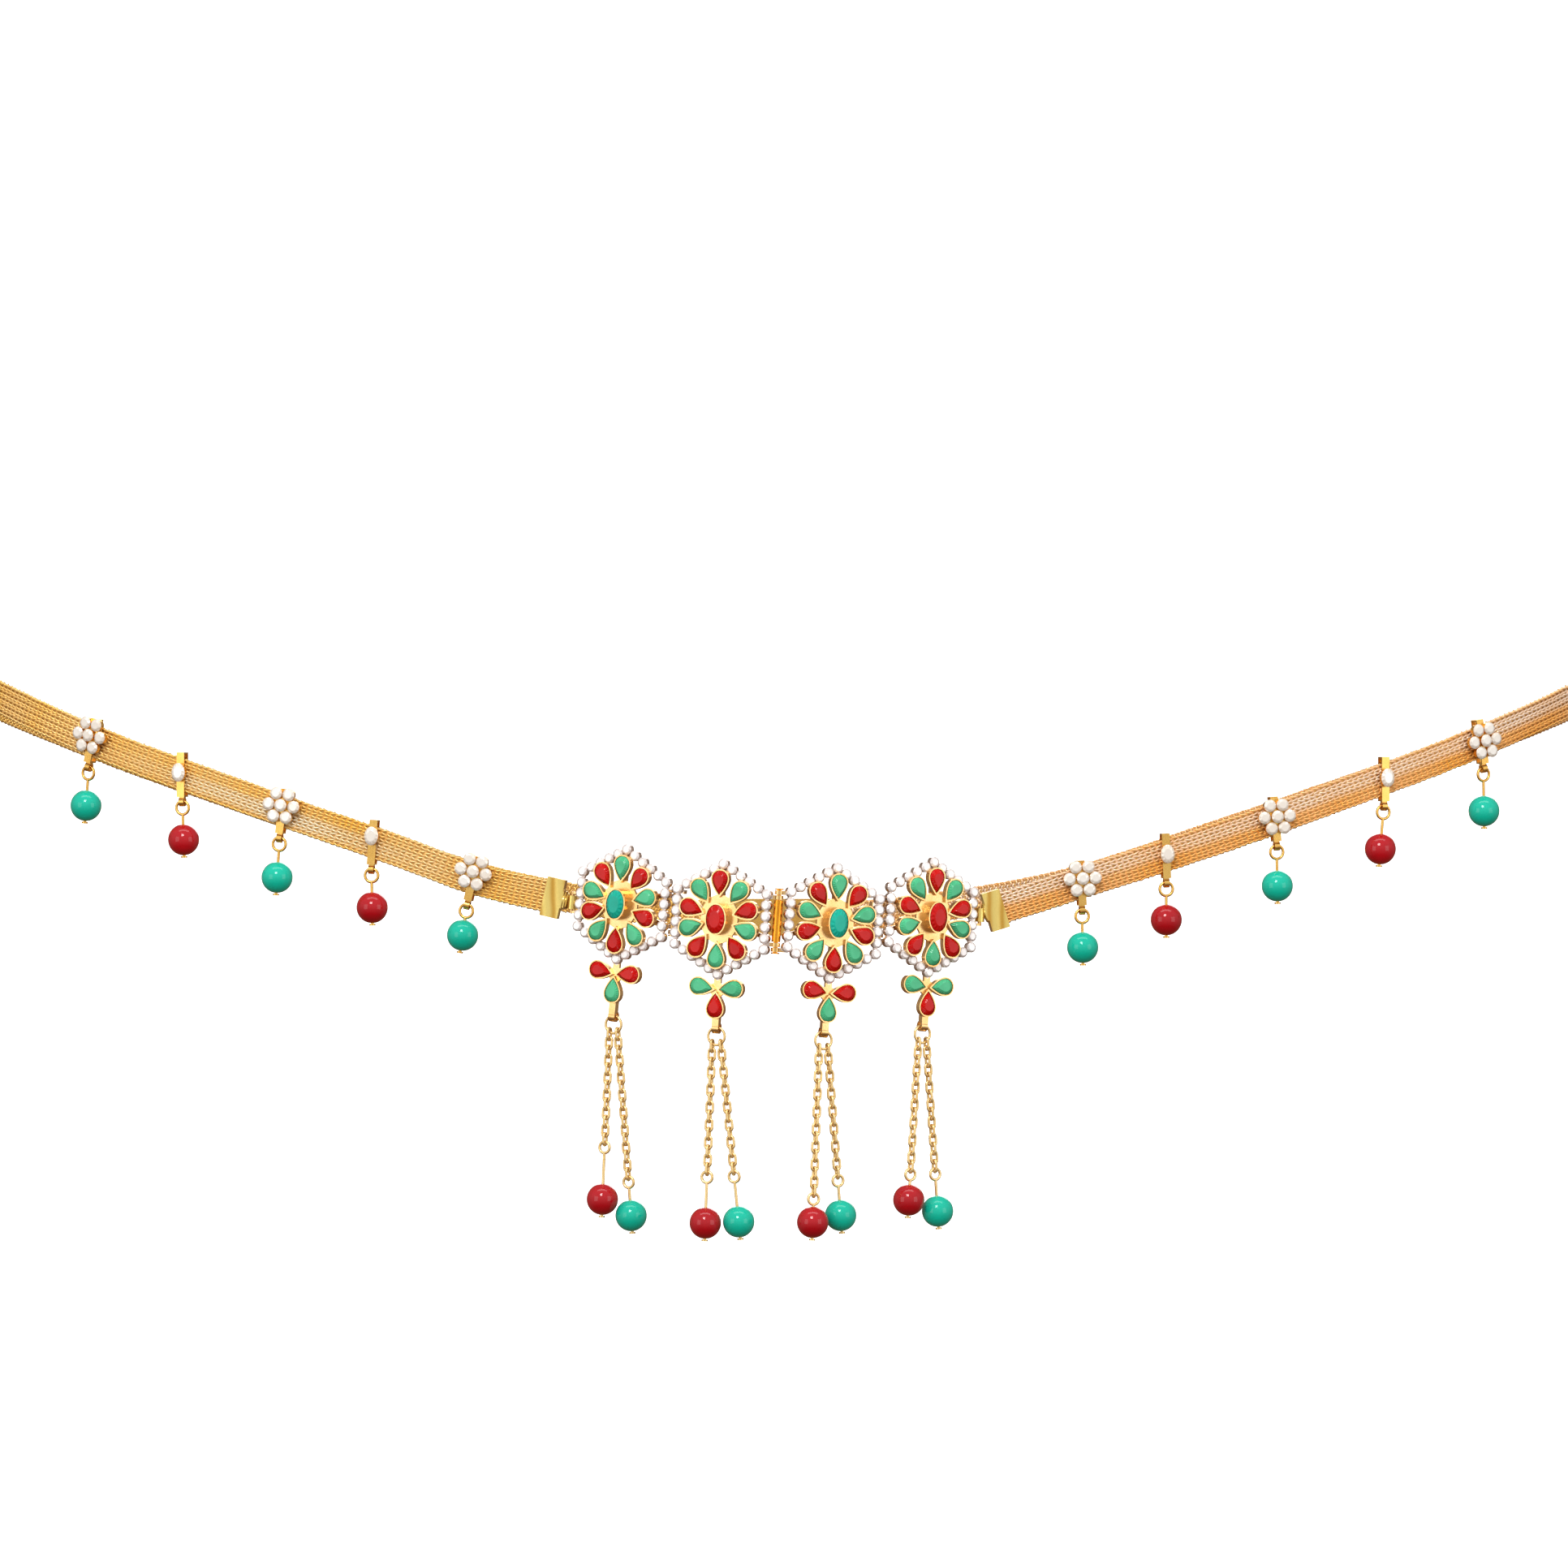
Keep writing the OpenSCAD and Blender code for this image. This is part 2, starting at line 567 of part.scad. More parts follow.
// The woven band: a flat section with bevelled edges carried along the curve.
BAND_RINGS = 84;
function band_section() = let (t = band_thick / 2, h = band_height / 2, c = band_bevel) [
    [t, -h + c], [t, h - c], [t - c, h], [c - t, h], [-t, h - c], [-t, c - h], [c - t, -h], [t - c, -h]
];
module band(side) {
    section = band_section();
    m = len(section);
    points = [for (r = [0:BAND_RINGS]) let (
        s = band_length(side) * r / BAND_RINGS,
        t = r == 0 ? cap_heading(side == 0 ? LEFT : RIGHT)
            : r == BAND_RINGS ? [side == 0 ? 1 : -1, 0, 0] : band_heading(side, s),
        up = band_up(t), out = cross(t, up), p = band_at(side, s)
    ) for (q = section) p + q.x * out + q.y * up];
    faces = concat(
        [[for (j = [0:m - 1]) j]],
        [for (r = [0:BAND_RINGS - 1]) for (j = [0:m - 1])
            [r * m + j, (r + 1) * m + j, (r + 1) * m + (j + 1) % m, r * m + (j + 1) % m]],
        [[for (j = [m - 1:-1:0]) BAND_RINGS * m + j]]
    );
    color(MESH_GOLD) polyhedron(points, faces, convexity = 10);
}

// An end cap: a box that holds the band's end, a neck, and an eye round the plaque's staple.
cap_height = band_height + 2 * (band_play + cap_wall);
cap_thick = band_thick + 2 * (band_play + cap_wall);
module box_end(depth) {
    difference() {
        translate([-cap_wall, -cap_thick / 2, -cap_height / 2]) cube([depth + cap_wall, cap_thick, cap_height]);
        translate([-band_play, -cap_thick / 2 + cap_wall, -cap_height / 2 + cap_wall])
            cube([depth + 1, cap_thick - 2 * cap_wall, cap_height - 2 * cap_wall]);
    }
}
module end_cap(way) {
    k = way == LEFT ? 0 : 4;
    neck_steps = way == LEFT ? [4.6, 2.6, 4.2, 2.6, 3.6] : [4.4, 4.2, 4.2, 3.4, 2.4];
    climb = CAP_CLIMB[way_index(way)];
    color(GOLD) difference() {
        union() {
            translate(band_start(way)) rotate([0, 0, way == LEFT ? 180 - CAP_TURN : CAP_TURN])
                rotate([0, -climb, 0]) {
                    box_end(cap_depth);
                    for (n = [0:4]) translate([-cap_wall - neck_length(way) * (n + 1) / 5, 0, 0])
                        rotate([0, 90, 0]) intersection() {
                            cylinder(h = neck_length(way) / 5 + 0.05, d = neck_steps[n]);
                            translate([-3, -cap_thick / 2, -1]) cube([6, cap_thick, 4]);
                        }
                }
            on_hinge(k) translate([0, 0, -1.5]) cylinder(h = 3, r = eye_radius);
        }
        on_hinge(k) translate([0, 0, -3]) cylinder(h = 6, d = lug_bore);
    }
}

module clasp() {
    color(GOLD) translate([0, back_depth, -back_drop]) difference() {
        cube([clasp_length, cap_thick, cap_height], center = true);
        for (way = [LEFT, RIGHT])
            translate([way * (clasp_length / 2 - cap_depth / 2 - band_play / 2), 0, 0]) cube(
                [cap_depth + band_play + 0.01, cap_thick - 2 * cap_wall, cap_height - 2 * cap_wall],
                center = true);
    }
}

// A setting on the band: a clip round the band, cups in front and a tube for the pin below.
clip_inner = band_thick + 2 * band_play;
clip_outer = clip_inner + 2 * clip_thick;
clip_hole = band_height + 1.7;
tube_bore = 1.35;
tube_drop = clip_hole / 2 + clip_thick + 1.1;
function drops(side) = side == 0 ? DROPS_LEFT : DROPS_RIGHT;
module on_band(side, drop) {
    translate(band_at(side, drop[ALONG])) rotate([0, 0, band_turn(side, drop[ALONG])])
        rotate([0, -drop[FOOT_LEAN], 0]) children();
}
module clip() {
    difference() {
        cube([clip_width, clip_outer, clip_hole + 2 * clip_thick], center = true);
        cube([clip_width + 1, clip_inner, clip_hole], center = true);
    }
    translate([-tube_length / 2, 0, -tube_drop]) rotate([0, 90, 0]) difference() {
        union() {
            cylinder(h = tube_length, d = tube_bore + 0.7);
            translate([-1.3, -0.6, 0]) cube([1, 1.2, tube_length]);
        }
        translate([0, 0, -1]) cylinder(h = tube_length + 2, d = tube_bore);
    }
}
module flower_cups() {
    difference() {
        union() {
            cylinder(h = 0.5, r = flower_ring);
            cylinder(h = cup_height + 0.35, d = flower_cup);
            for (a = [0:60:300]) rotate(a) translate([flower_ring, 0, 0]) cylinder(h = cup_height, d = flower_cup);
        }
        translate([0, 0, 0.85]) cylinder(h = cup_height, d = flower_cup - 0.4);
        for (a = [0:60:300]) rotate(a) translate([flower_ring, 0, 0.5]) cylinder(h = cup_height, d = flower_cup - 0.4);
    }
}
module single_cup() {
    difference() {
        linear_extrude(cup_height) polygon(oval(single_width, single_height, 24));
        translate([0, 0, 0.5]) linear_extrude(cup_height) polygon(oval(single_width - 0.4, single_height - 0.4, 24));
    }
}
module settings(side) {
    color(GOLD) for (drop = drops(side)) on_band(side, drop) {
        clip();
        translate([0, -clip_outer / 2 + 0.1, drop[LIFT]]) rotate([90, 0, 0]) {
            if (drop[IS_FLOWER]) flower_cups(); else single_cup();
        }
    }
}

// A pin hangs from a point: its loop or eye, its shank through the bead and a small head below.
module pin(loop, bead_centre) {
    foot = bead_centre + bead_radius + 0.15;
    rotate([90, 0, 0]) ring_of_wire(loop, pin_wire);
    translate([0, 0, -foot]) cylinder(h = foot - loop, d = pin_wire);
    translate([0, 0, -foot - 0.4]) cylinder(h = 0.4, d = 1.4);
}
module bored_bead(shade) {
    color(shade) difference() {
        sphere(d = bead_width);
        cylinder(h = bead_width + 2, d = bead_bore, center = true);
    }
}
module at_drop_loop(side, drop) {
    on_band(side, drop) translate([0, 0, -tube_drop]) rotate([0, drop[FOOT_LEAN] - drop[SWING], 0])
        translate([0, 0, SEAT_SLACK - pin_loop]) children();
}
function drop_bead_depth(drop) = drop[HANG] - tube_drop - pin_loop + SEAT_SLACK;
module drop_pins(side) {
    color(GOLD) for (drop = drops(side)) at_drop_loop(side, drop) pin(pin_loop, drop_bead_depth(drop));
}
module drop_bead(side, n) {
    drop = drops(side)[n];
    at_drop_loop(side, drop) translate([0, 0, -drop_bead_depth(drop)])
        bored_bead(drop[IS_GREEN] ? GREEN_BEAD : RED_BEAD);
}

// A tassel hangs from its ring, which hangs in the tube under the trefoil.
function ring_centre(i) =
    on_plaque(i, [0, -bail_drop(i), bail_level]) - [0, 0, tassel_ring_radius - SEAT_SLACK];
module tassel_ring(i) {
    color(GOLD) translate(ring_centre(i)) rotate([0, 0, PLAQUES[i][TURN]]) rotate([90, 0, 0])
        ring_of_wire(tassel_ring_radius, tassel_ring_wire);
}
module on_chain(i, chain, way) {
    translate(ring_centre(i) + tassel_ring_radius
        * (way * sin(CHAIN_SEAT) * along(PLAQUES[i][TURN]) - [0, 0, cos(CHAIN_SEAT)]))
        rotate([-chain[FRONT_SWING], -chain[SIDE_SWING], 0]) rotate([0, 0, PLAQUES[i][TURN]]) children();
}
module link() {
    for (s = [1, -1]) {
        translate([s * link_bend, 0, -link_straight / 2]) cylinder(h = link_straight, d = link_wire);
        translate([0, 0, s * link_straight / 2]) rotate([s * 90, 0, 0])
            rotate_extrude(angle = 180) translate([link_bend, 0]) circle(d = link_wire);
    }
}
// Depth of the first link's centre below the ring's wire, clear of it where the ring slopes.
first_link = link_half - (link_wire + tassel_ring_wire) / 2 / cos(CHAIN_SEAT) - SEAT_SLACK;
function eye_depth(chain) = first_link + (chain[LINKS] - 1) * link_pitch
    + link_half - link_wire - (pin_wire - link_wire) / 2 - SEAT_SLACK + eye_loop;
function tassel_bead_depth(chain) = eye_depth(chain) + eye_loop + chain[BARE_PIN] + bead_radius;
module chain(i, row, way) {
    color(GOLD) on_chain(i, row, way) {
        for (n = [0:row[LINKS] - 1])
            translate([0, 0, -first_link - n * link_pitch]) rotate([0, 0, n % 2 == 0 ? 90 : 0]) link();
        translate([0, 0, -eye_depth(row)]) pin(eye_loop, tassel_bead_depth(row) - eye_depth(row));
    }
}
module tassel_bead(i, row, way, shade) {
    on_chain(i, row, way) translate([0, 0, -tassel_bead_depth(row)]) bored_bead(shade);
}

for (i = [0:3]) {
    plaque(i);
    centre_stone(i);
    petals(i, true);
    petals(i, false);
    tassel_ring(i);
    chain(i, RED_CHAINS[i], LEFT);
    chain(i, GREEN_CHAINS[i], RIGHT);
    tassel_bead(i, RED_CHAINS[i], LEFT, RED_BEAD);
    tassel_bead(i, GREEN_CHAINS[i], RIGHT, GREEN_BEAD);
}
for (n = [0:4]) {
    drop_bead(0, n);
    drop_bead(1, n);
}
hinge_rod(1);  // hinge_rod_left
hinge_rod(2);  // hinge_barrel
hinge_rod(3);  // hinge_rod_right
band(0);  // band_left
band(1);  // band_right
end_cap(LEFT);  // end_cap_left
end_cap(RIGHT);  // end_cap_right
clasp();
settings(0);  // settings_left
settings(1);  // settings_right
drop_pins(0);  // drop_pins_left
drop_pins(1);  // drop_pins_right
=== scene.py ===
"""Dresses the waist belt for its picture: knit bands, cut stones, polished gold, white studio."""

import logging
from dataclasses import dataclass, field
from enum import Enum
from math import cos, pi, radians, sin
from typing import ClassVar

import bpy
import numpy as np
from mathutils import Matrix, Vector

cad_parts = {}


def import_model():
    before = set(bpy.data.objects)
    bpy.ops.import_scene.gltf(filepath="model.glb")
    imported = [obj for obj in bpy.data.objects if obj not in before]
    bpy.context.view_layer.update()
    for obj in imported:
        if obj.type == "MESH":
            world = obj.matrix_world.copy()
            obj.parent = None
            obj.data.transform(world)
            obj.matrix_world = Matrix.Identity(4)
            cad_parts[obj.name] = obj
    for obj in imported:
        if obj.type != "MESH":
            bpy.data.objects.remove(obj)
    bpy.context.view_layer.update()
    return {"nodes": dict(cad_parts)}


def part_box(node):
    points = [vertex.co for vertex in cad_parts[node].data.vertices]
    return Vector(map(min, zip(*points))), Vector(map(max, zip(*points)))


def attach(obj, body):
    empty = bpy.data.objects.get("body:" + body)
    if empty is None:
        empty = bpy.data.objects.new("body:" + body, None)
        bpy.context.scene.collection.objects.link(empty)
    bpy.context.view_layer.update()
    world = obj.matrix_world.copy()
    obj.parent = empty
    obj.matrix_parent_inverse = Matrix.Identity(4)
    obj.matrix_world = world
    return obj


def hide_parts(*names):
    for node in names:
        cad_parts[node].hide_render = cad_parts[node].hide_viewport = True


MM = 0.001
BODY = "root"
LOG = logging.getLogger("waist_belt")

Colour = tuple[float, float, float]
Point = tuple[float, float, float]


# Finishes


class Kind(Enum):
    """What a finish is made of, which decides its shader."""

    METAL = "metal"
    WIRE = "wire"
    KNIT = "knit"
    STONE = "stone"
    CRYSTAL = "crystal"
    BEAD = "bead"


@dataclass(frozen=True)
class Finish:
    """One finish of the belt.

    Attributes:
        slot: Its material slot; not used.
        kind: What it is made of.
        light: Its colour where it is palest.
        deep: Its colour where it is deepest.
        roughness: Its middle roughness.
        grain: Grains of its unevenness to a millimetre.
        relief: Height of its unevenness in millimetres.
        ridges: Ridges to a millimetre along X, with painted shade in their valleys, or 0 for none.
    """

    slot: str
    kind: Kind
    light: Colour
    deep: Colour
    roughness: float
    grain: float
    relief: float
    ridges: float = 0.0


FINISHES = {
    "gold": Finish("polished_gold", Kind.METAL, (0.92, 0.58, 0.16), (0.80, 0.41, 0.08), 0.26, 1.1, 0.030),
    "flower": Finish("polished_gold", Kind.METAL, (0.94, 0.65, 0.31), (0.79, 0.41, 0.10), 0.24, 0.9, 0.030),
    "cap": Finish(
        "polished_gold", Kind.WIRE, (1.00, 0.78, 0.24), (0.72, 0.40, 0.06), 0.24, 0.5, 0.10, 0.11
    ),
    "rim": Finish("polished_gold", Kind.METAL, (0.84, 0.74, 0.68), (0.62, 0.47, 0.38), 0.30, 0.9, 0.010),
    "barrel": Finish("polished_gold", Kind.METAL, (0.98, 0.42, 0.04), (0.84, 0.28, 0.02), 0.26, 0.9, 0.010),
    # The knit's pale colour is a painted reflection: the wire's tone lays it along a strip, and broad noise
    # lays it in wide blotches.
    "knit_left": Finish("woven_gold", Kind.KNIT, (0.96, 0.88, 0.70), (1.00, 0.58, 0.07), 0.34, 0.22, 0.010),
    "knit_right": Finish(
        "woven_gold", Kind.KNIT, (1.00, 0.82, 0.66), (0.98, 0.46, 0.04), 0.34, 0.22, 0.010
    ),
    # The core's dark gold is painted shade, seen through the gaps between the knit's wires.
    "core": Finish("woven_gold", Kind.METAL, (0.72, 0.40, 0.13), (0.54, 0.27, 0.07), 0.45, 1.6, 0.030),
    "chain": Finish("chain_gold", Kind.WIRE, (0.96, 0.72, 0.34), (0.86, 0.56, 0.20), 0.24, 0.9, 0.006),
    "red_stone": Finish(
        "red_stone", Kind.STONE, (0.64, 0.006, 0.004), (0.44, 0.002, 0.002), 0.12, 0.8, 0.0
    ),
    "green_stone": Finish(
        "green_stone", Kind.STONE, (0.10, 0.60, 0.30), (0.05, 0.40, 0.18), 0.12, 0.8, 0.0
    ),
    "teal_stone": Finish(
        "teal_stone", Kind.STONE, (0.010, 0.48, 0.35), (0.005, 0.36, 0.25), 0.12, 0.8, 0.0
    ),
    # The clear stones' deep colours are painted shade towards each stone's girdle, with some tone that
    # differs at random from stone to stone.
    "crystal": Finish(
        "polished_gold", Kind.CRYSTAL, (1.00, 0.98, 0.98), (0.66, 0.53, 0.48), 0.12, 0.8, 0.0
    ),
    "band_crystal": Finish(
        "polished_gold", Kind.CRYSTAL, (1.00, 0.97, 0.91), (0.84, 0.66, 0.48), 0.12, 0.8, 0.0
    ),
    "red_bead": Finish(
        "red_bead", Kind.BEAD, (0.50, 0.003, 0.010), (0.35, 0.001, 0.006), 0.10, 0.35, 0.004
    ),
    "green_bead": Finish(
        "green_bead", Kind.BEAD, (0.001, 0.55, 0.38), (0.001, 0.42, 0.29), 0.10, 0.35, 0.004
    ),
}


# Shaders


class Wire:
    """A value in a shader, with arithmetic: each operator adds the node that it needs."""

    def __init__(self, graph: "Graph", socket: bpy.types.NodeSocket | None) -> None:
        """Keeps the tree that the value is in and the socket that gives it."""
        self.graph = graph
        self.socket = socket

    def _math(self, operation: str, first: object, second: object) -> "Wire":
        """The result of an operation on two values."""
        return self.graph.add("ShaderNodeMath", {0: first, 1: second}, operation=operation)

    def __add__(self, other: object) -> "Wire":
        """The sum of two values."""
        return self._math("ADD", self, other)

    def __sub__(self, other: object) -> "Wire":
        """The first value less the second."""
        return self._math("SUBTRACT", self, other)

    def __mul__(self, other: object) -> "Wire":
        """The product of two values."""
        return self._math("MULTIPLY", self, other)

    def __pow__(self, other: object) -> "Wire":
        """The value to a power."""
        return self._math("POWER", self, other)

    def peak(self, other: object) -> "Wire":
        """The greater of two values."""
        return self._math("MAXIMUM", self, other)

    def size(self) -> "Wire":
        """The value without its sign."""
        return self._math("ABSOLUTE", self, 0.0)

    def rise(self, start: float, end: float) -> "Wire":
        """0 below one value and 1 above another, with a slope between them."""
        ends = {"From Min": start, "From Max": end, "To Min": 0.0, "To Max": 1.0}
        return self.graph.add("ShaderNodeMapRange", {"Value": self, **ends})

    def __rsub__(self, other: object) -> "Wire":
        """A number less the value."""
        return self._math("SUBTRACT", other, self)

    __radd__ = __add__
    __rmul__ = __mul__


class Graph:
    """The node tree of a material or world, built up from values."""

    def __init__(self, tree: bpy.types.NodeTree) -> None:
        """Starts with an empty tree."""
        self.tree = tree
        tree.nodes.clear()

    def add(self, kind: str, inputs: dict | None = None, output: object = 0, **settings: object) -> Wire:
        """Adds any node.

        Args:
            kind: Blender's name for the node type.
            inputs: What goes into each input, by name or number: a Wire or a constant.
            output: The output that is wanted, by name or number.
            settings: Properties of the node.

        Returns:
            The output as a Wire.
        """
        node = self.tree.nodes.new(kind)
        for name, value in settings.items():
            setattr(node, name, value)
        for name, value in (inputs or {}).items():
            if isinstance(value, Wire):
                self.tree.links.new(value.socket, node.inputs[name])
            else:
                node.inputs[name].default_value = value
        return Wire(self, node.outputs[output] if len(node.outputs) else None)

    def blend(self, low: object, high: object, share: Wire) -> Wire:
        """A colour between two colours.

        Args:
            low: The colour at share 0.
            high: The colour at share 1.
            share: Where it lies between them.

        Returns:
            The mixed colour.
        """
        inputs = {0: share, 6: low, 7: high}
        return self.add("ShaderNodeMix", inputs, output=2, data_type="RGBA", clamp_factor=True)

    def noise(self, grains_per_mm: float, detail: float = 2.0) -> Wire:
        """Even unevenness over the object.

        Args:
            grains_per_mm: Its grains to a millimetre.
            detail: How many finer layers are added.

        Returns:
            A value from 0 to 1.
        """
        place = self.add("ShaderNodeTexCoord", output="Object")
        inputs = {"Vector": place, "Scale": grains_per_mm / MM, "Detail": detail}
        return self.add("ShaderNodeTexNoise", inputs)

    def tone(self) -> Wire:
        """The number that a piece's mesh holds at each of its points, from 0 to 1."""
        return self.add("ShaderNodeAttribute", output="Fac", attribute_name="tone")


def rgba(colour: Colour) -> tuple[float, float, float, float]:
    """A colour with full alpha."""
    return (*colour, 1.0)


SHEEN = {
    Kind.METAL: {"Metallic": 1.0},
    Kind.WIRE: {"Metallic": 0.75},
    Kind.KNIT: {"Metallic": 0.6},
    Kind.STONE: {"Coat Weight": 0.35, "Coat Roughness": 0.04, "Coat IOR": 1.5, "IOR": 1.15},
    Kind.CRYSTAL: {"Metallic": 0.2, "Coat Weight": 1.0, "Coat Roughness": 0.03, "IOR": 1.6},
    Kind.BEAD: {"Coat Weight": 0.75, "Coat Roughness": 0.03, "Coat IOR": 1.5, "IOR": 1.15},
}


def rim_share(graph: Graph, face: "Setting") -> Wire:
    """1 on a plaque's hexagonal rim and 0 elsewhere, from the distance to its three pairs of sides.

    Args:
        graph: The material's tree.
        face: The plaque's frame.

    Returns:
        The share.
    """
    place = graph.add("ShaderNodeTexCoord", output="Object")
    away = graph.add("ShaderNodeVectorMath", {0: place, 1: tuple(face.origin * MM)}, operation="SUBTRACT")
    right, up, out = (
        graph.add("ShaderNodeVectorMath", {0: away, 1: tuple(axis)}, output="Value", operation="DOT_PRODUCT")
        for axis in face.axes
    )
    soft, step = 0.1, 0.03
    inner = SIZES.rim_radius * cos(pi / 6) - SIZES.rim_cup / 2
    along, above = right * sin(pi / 6), up * cos(pi / 6)
    reach = right.size().peak((above + along).size()).peak((above - along).size())
    outer = inner + SIZES.rim_cup
    within = reach.rise((inner - 2 * soft) * MM, (inner - soft) * MM)
    beyond = reach.rise((outer + 0.5 * soft) * MM, (outer + 1.5 * soft) * MM)
    raised = out.rise((SIZES.rim_top - step) * MM, (SIZES.rim_top + step) * MM)
    return (within - beyond) * (1.0 - raised)


def make_material(name: str, finish: Finish, face: "Setting | None" = None) -> bpy.types.Material:
    """Builds the material of a finish.

    Args:
        name: The material's name.
        finish: The finish.
        face: The frame of the plaque whose rim has the rim's finish, if it is a plaque's metal.

    Returns:
        A material whose colour, roughness and relief vary over the surface.
    """
    material = bpy.data.materials.new(name)
    material.use_nodes = True
    graph = Graph(material.node_tree)
    broad = graph.noise(finish.grain * 0.25)
    fine = graph.noise(finish.grain * 4.0, detail=3.0)
    broad_part, fine_part = 1.6, 0.35
    share = (broad - 0.3) * broad_part + (fine - 0.5) * fine_part
    height = fine
    if finish.ridges:
        place = graph.add("ShaderNodeTexCoord", output="Object")
        wave = graph.add(
            "ShaderNodeTexWave",
            {"Vector": place, "Scale": finish.ridges / MM, "Distortion": 1.2, "Detail": 1.0},
        )
        # Painted shade in the grooves: the ridges' valleys take the deep colour.
        groove_shade_part, patch_part, grain_part = 0.9, 0.2, 0.1
        share = (1.0 - wave) ** 2.0 * groove_shade_part + share * patch_part
        height = wave + fine * grain_part
    # The mesh's tone paints light here: a painted reflection strip on the knit, and painted shade towards
    # each clear stone's girdle.
    if finish.kind in (Kind.KNIT, Kind.CRYSTAL):
        patch_part, tone_and_painted_light_part = 0.4, 0.7
        share = share * patch_part + graph.tone() * tone_and_painted_light_part
    colour = graph.blend(rgba(finish.light), rgba(finish.deep), share)
    if face:
        rim = FINISHES["rim"]
        rim_colour = graph.blend(rgba(rim.light), rgba(rim.deep), share)
        colour = graph.blend(colour, rim_colour, rim_share(graph, face))
    inputs = {
        "Base Color": colour,
        "Roughness": finish.roughness * (0.75 + 0.5 * fine),
        **SHEEN[finish.kind],
    }
    if finish.relief:
        inputs["Normal"] = graph.add(
            "ShaderNodeBump", {"Strength": 0.6, "Distance": finish.relief * MM, "Height": height}
        )
    shader = graph.add("ShaderNodeBsdfPrincipled", inputs)
    graph.add("ShaderNodeOutputMaterial", {"Surface": shader})
    return material


@dataclass
class Palette:
    """The materials of the belt, each made once."""

    made: dict[str, bpy.types.Material] = field(default_factory=dict)

    def put(self, piece: bpy.types.Object, name: str, face: "Setting | None" = None) -> None:
        """Gives a piece the material of a finish.

        Args:
            piece: The piece.
            name: The finish's name.
            face: The plaque's frame, if the piece is a plaque's metal.
        """
        label = f"{name}_{piece.name}" if face else name
        if label not in self.made:
            self.made[label] = make_material(label, FINISHES[name], face)
        piece.data.materials.clear()
        piece.data.materials.append(self.made[label])


# Meshes


@dataclass
class Surface:
    """Vertices, faces of one or more sizes, and a number for each vertex.

    Attributes:
        points: (n, 3) vertices in metres.
        faces: Arrays of faces, each with the same number of corners.
        tones: (n,) numbers from 0 to 1.
    """

    points: np.ndarray
    faces: list[np.ndarray]
    tones: np.ndarray

    @staticmethod
    def join(parts: list["Surface"]) -> "Surface":
        """Joins surfaces.

        Args:
            parts: The surfaces.

        Returns:
            All of them as one.
        """
        starts = np.cumsum([0] + [len(p.points) for p in parts])
        faces = [f + start for p, start in zip(parts, starts) for f in p.faces]
        return Surface(np.vstack([p.points for p in parts]), faces, np.concatenate([p.tones for p in parts]))

    def build(self, name: str, smooth: bool) -> bpy.types.Object:
        """Makes the piece.

        Args:
            name: The piece's name.
            smooth: Whether its faces shade into each other.

        Returns:
            The object, which moves with the belt.
        """
        mesh = bpy.data.meshes.new(name)
        corners = np.concatenate([f.ravel() for f in self.faces]).astype(np.int32)
        counts = np.concatenate([np.full(len(f), f.shape[1]) for f in self.faces])
        starts = np.concatenate([[0], np.cumsum(counts)[:-1]]).astype(np.int32)
        mesh.vertices.add(len(self.points))
        mesh.vertices.foreach_set("co", self.points.astype(np.float32).ravel())
        mesh.loops.add(len(corners))
        mesh.loops.foreach_set("vertex_index", corners)
        mesh.polygons.add(len(counts))
        mesh.polygons.foreach_set("loop_start", starts)
        mesh.update(calc_edges=True)
        mesh.polygons.foreach_set("use_smooth", np.full(len(counts), smooth))
        tone = mesh.attributes.new("tone", "FLOAT", "POINT")
        tone.data.foreach_set("value", self.tones.astype(np.float32))
        piece = bpy.data.objects.new(name, mesh)
        bpy.context.scene.collection.objects.link(piece)
        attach(piece, BODY)
        LOG.info("%s: %d triangles", name, int((counts - 2).sum()))
        return piece


def unit(vectors: np.ndarray) -> np.ndarray:
    """Vectors of the same direction and length 1."""
    return vectors / np.linalg.norm(vectors, axis=-1, keepdims=True)


def wires(paths: np.ndarray, radius: float, sides: int, aside: np.ndarray, tones: np.ndarray) -> Surface:
    """Round wires along many paths at once, with closed ends.

    Each point of a path carries a ring of corners, at the radius times the cosine of an angle along
    one cross direction plus the sine along the other. Quads join neighbouring rings.

    Args:
        paths: (wires, steps, 3) points in metres.
        radius: Radius of the wire in metres.
        sides: Corners of each ring.
        aside: A direction for each point that is never along the wire.
        tones: (wires, steps) number of each point.

    Returns:
        The surface of the wires.
    """
    count, steps = paths.shape[:2]
    heading = unit(np.gradient(paths, axis=1))
    across = unit(np.cross(heading, aside))
    over = np.cross(heading, across)
    angle = 2 * pi * np.arange(sides) / sides
    ring = across[:, :, None] * np.cos(angle)[:, None] + over[:, :, None] * np.sin(angle)[:, None]
    points = (paths[:, :, None] + radius * ring).reshape(-1, 3)
    index = np.arange(count * steps * sides).reshape(count, steps, sides)
    turned = np.roll(index, -1, axis=2)
    quads = np.stack([index[:, :-1], turned[:, :-1], turned[:, 1:], index[:, 1:]], axis=-1).reshape(-1, 4)
    ends = np.concatenate([index[:, 0, ::-1], index[:, -1]])
    return Surface(points, [quads, ends], np.repeat(tones.ravel(), sides))


# Stones


def oval(width: float, height: float, count: int) -> np.ndarray:
    """(count, 2) points of an ellipse in millimetres, anticlockwise."""
    angle = 2 * pi * np.arange(count) / count
    return np.stack([width / 2 * np.cos(angle), height / 2 * np.sin(angle)], axis=1)


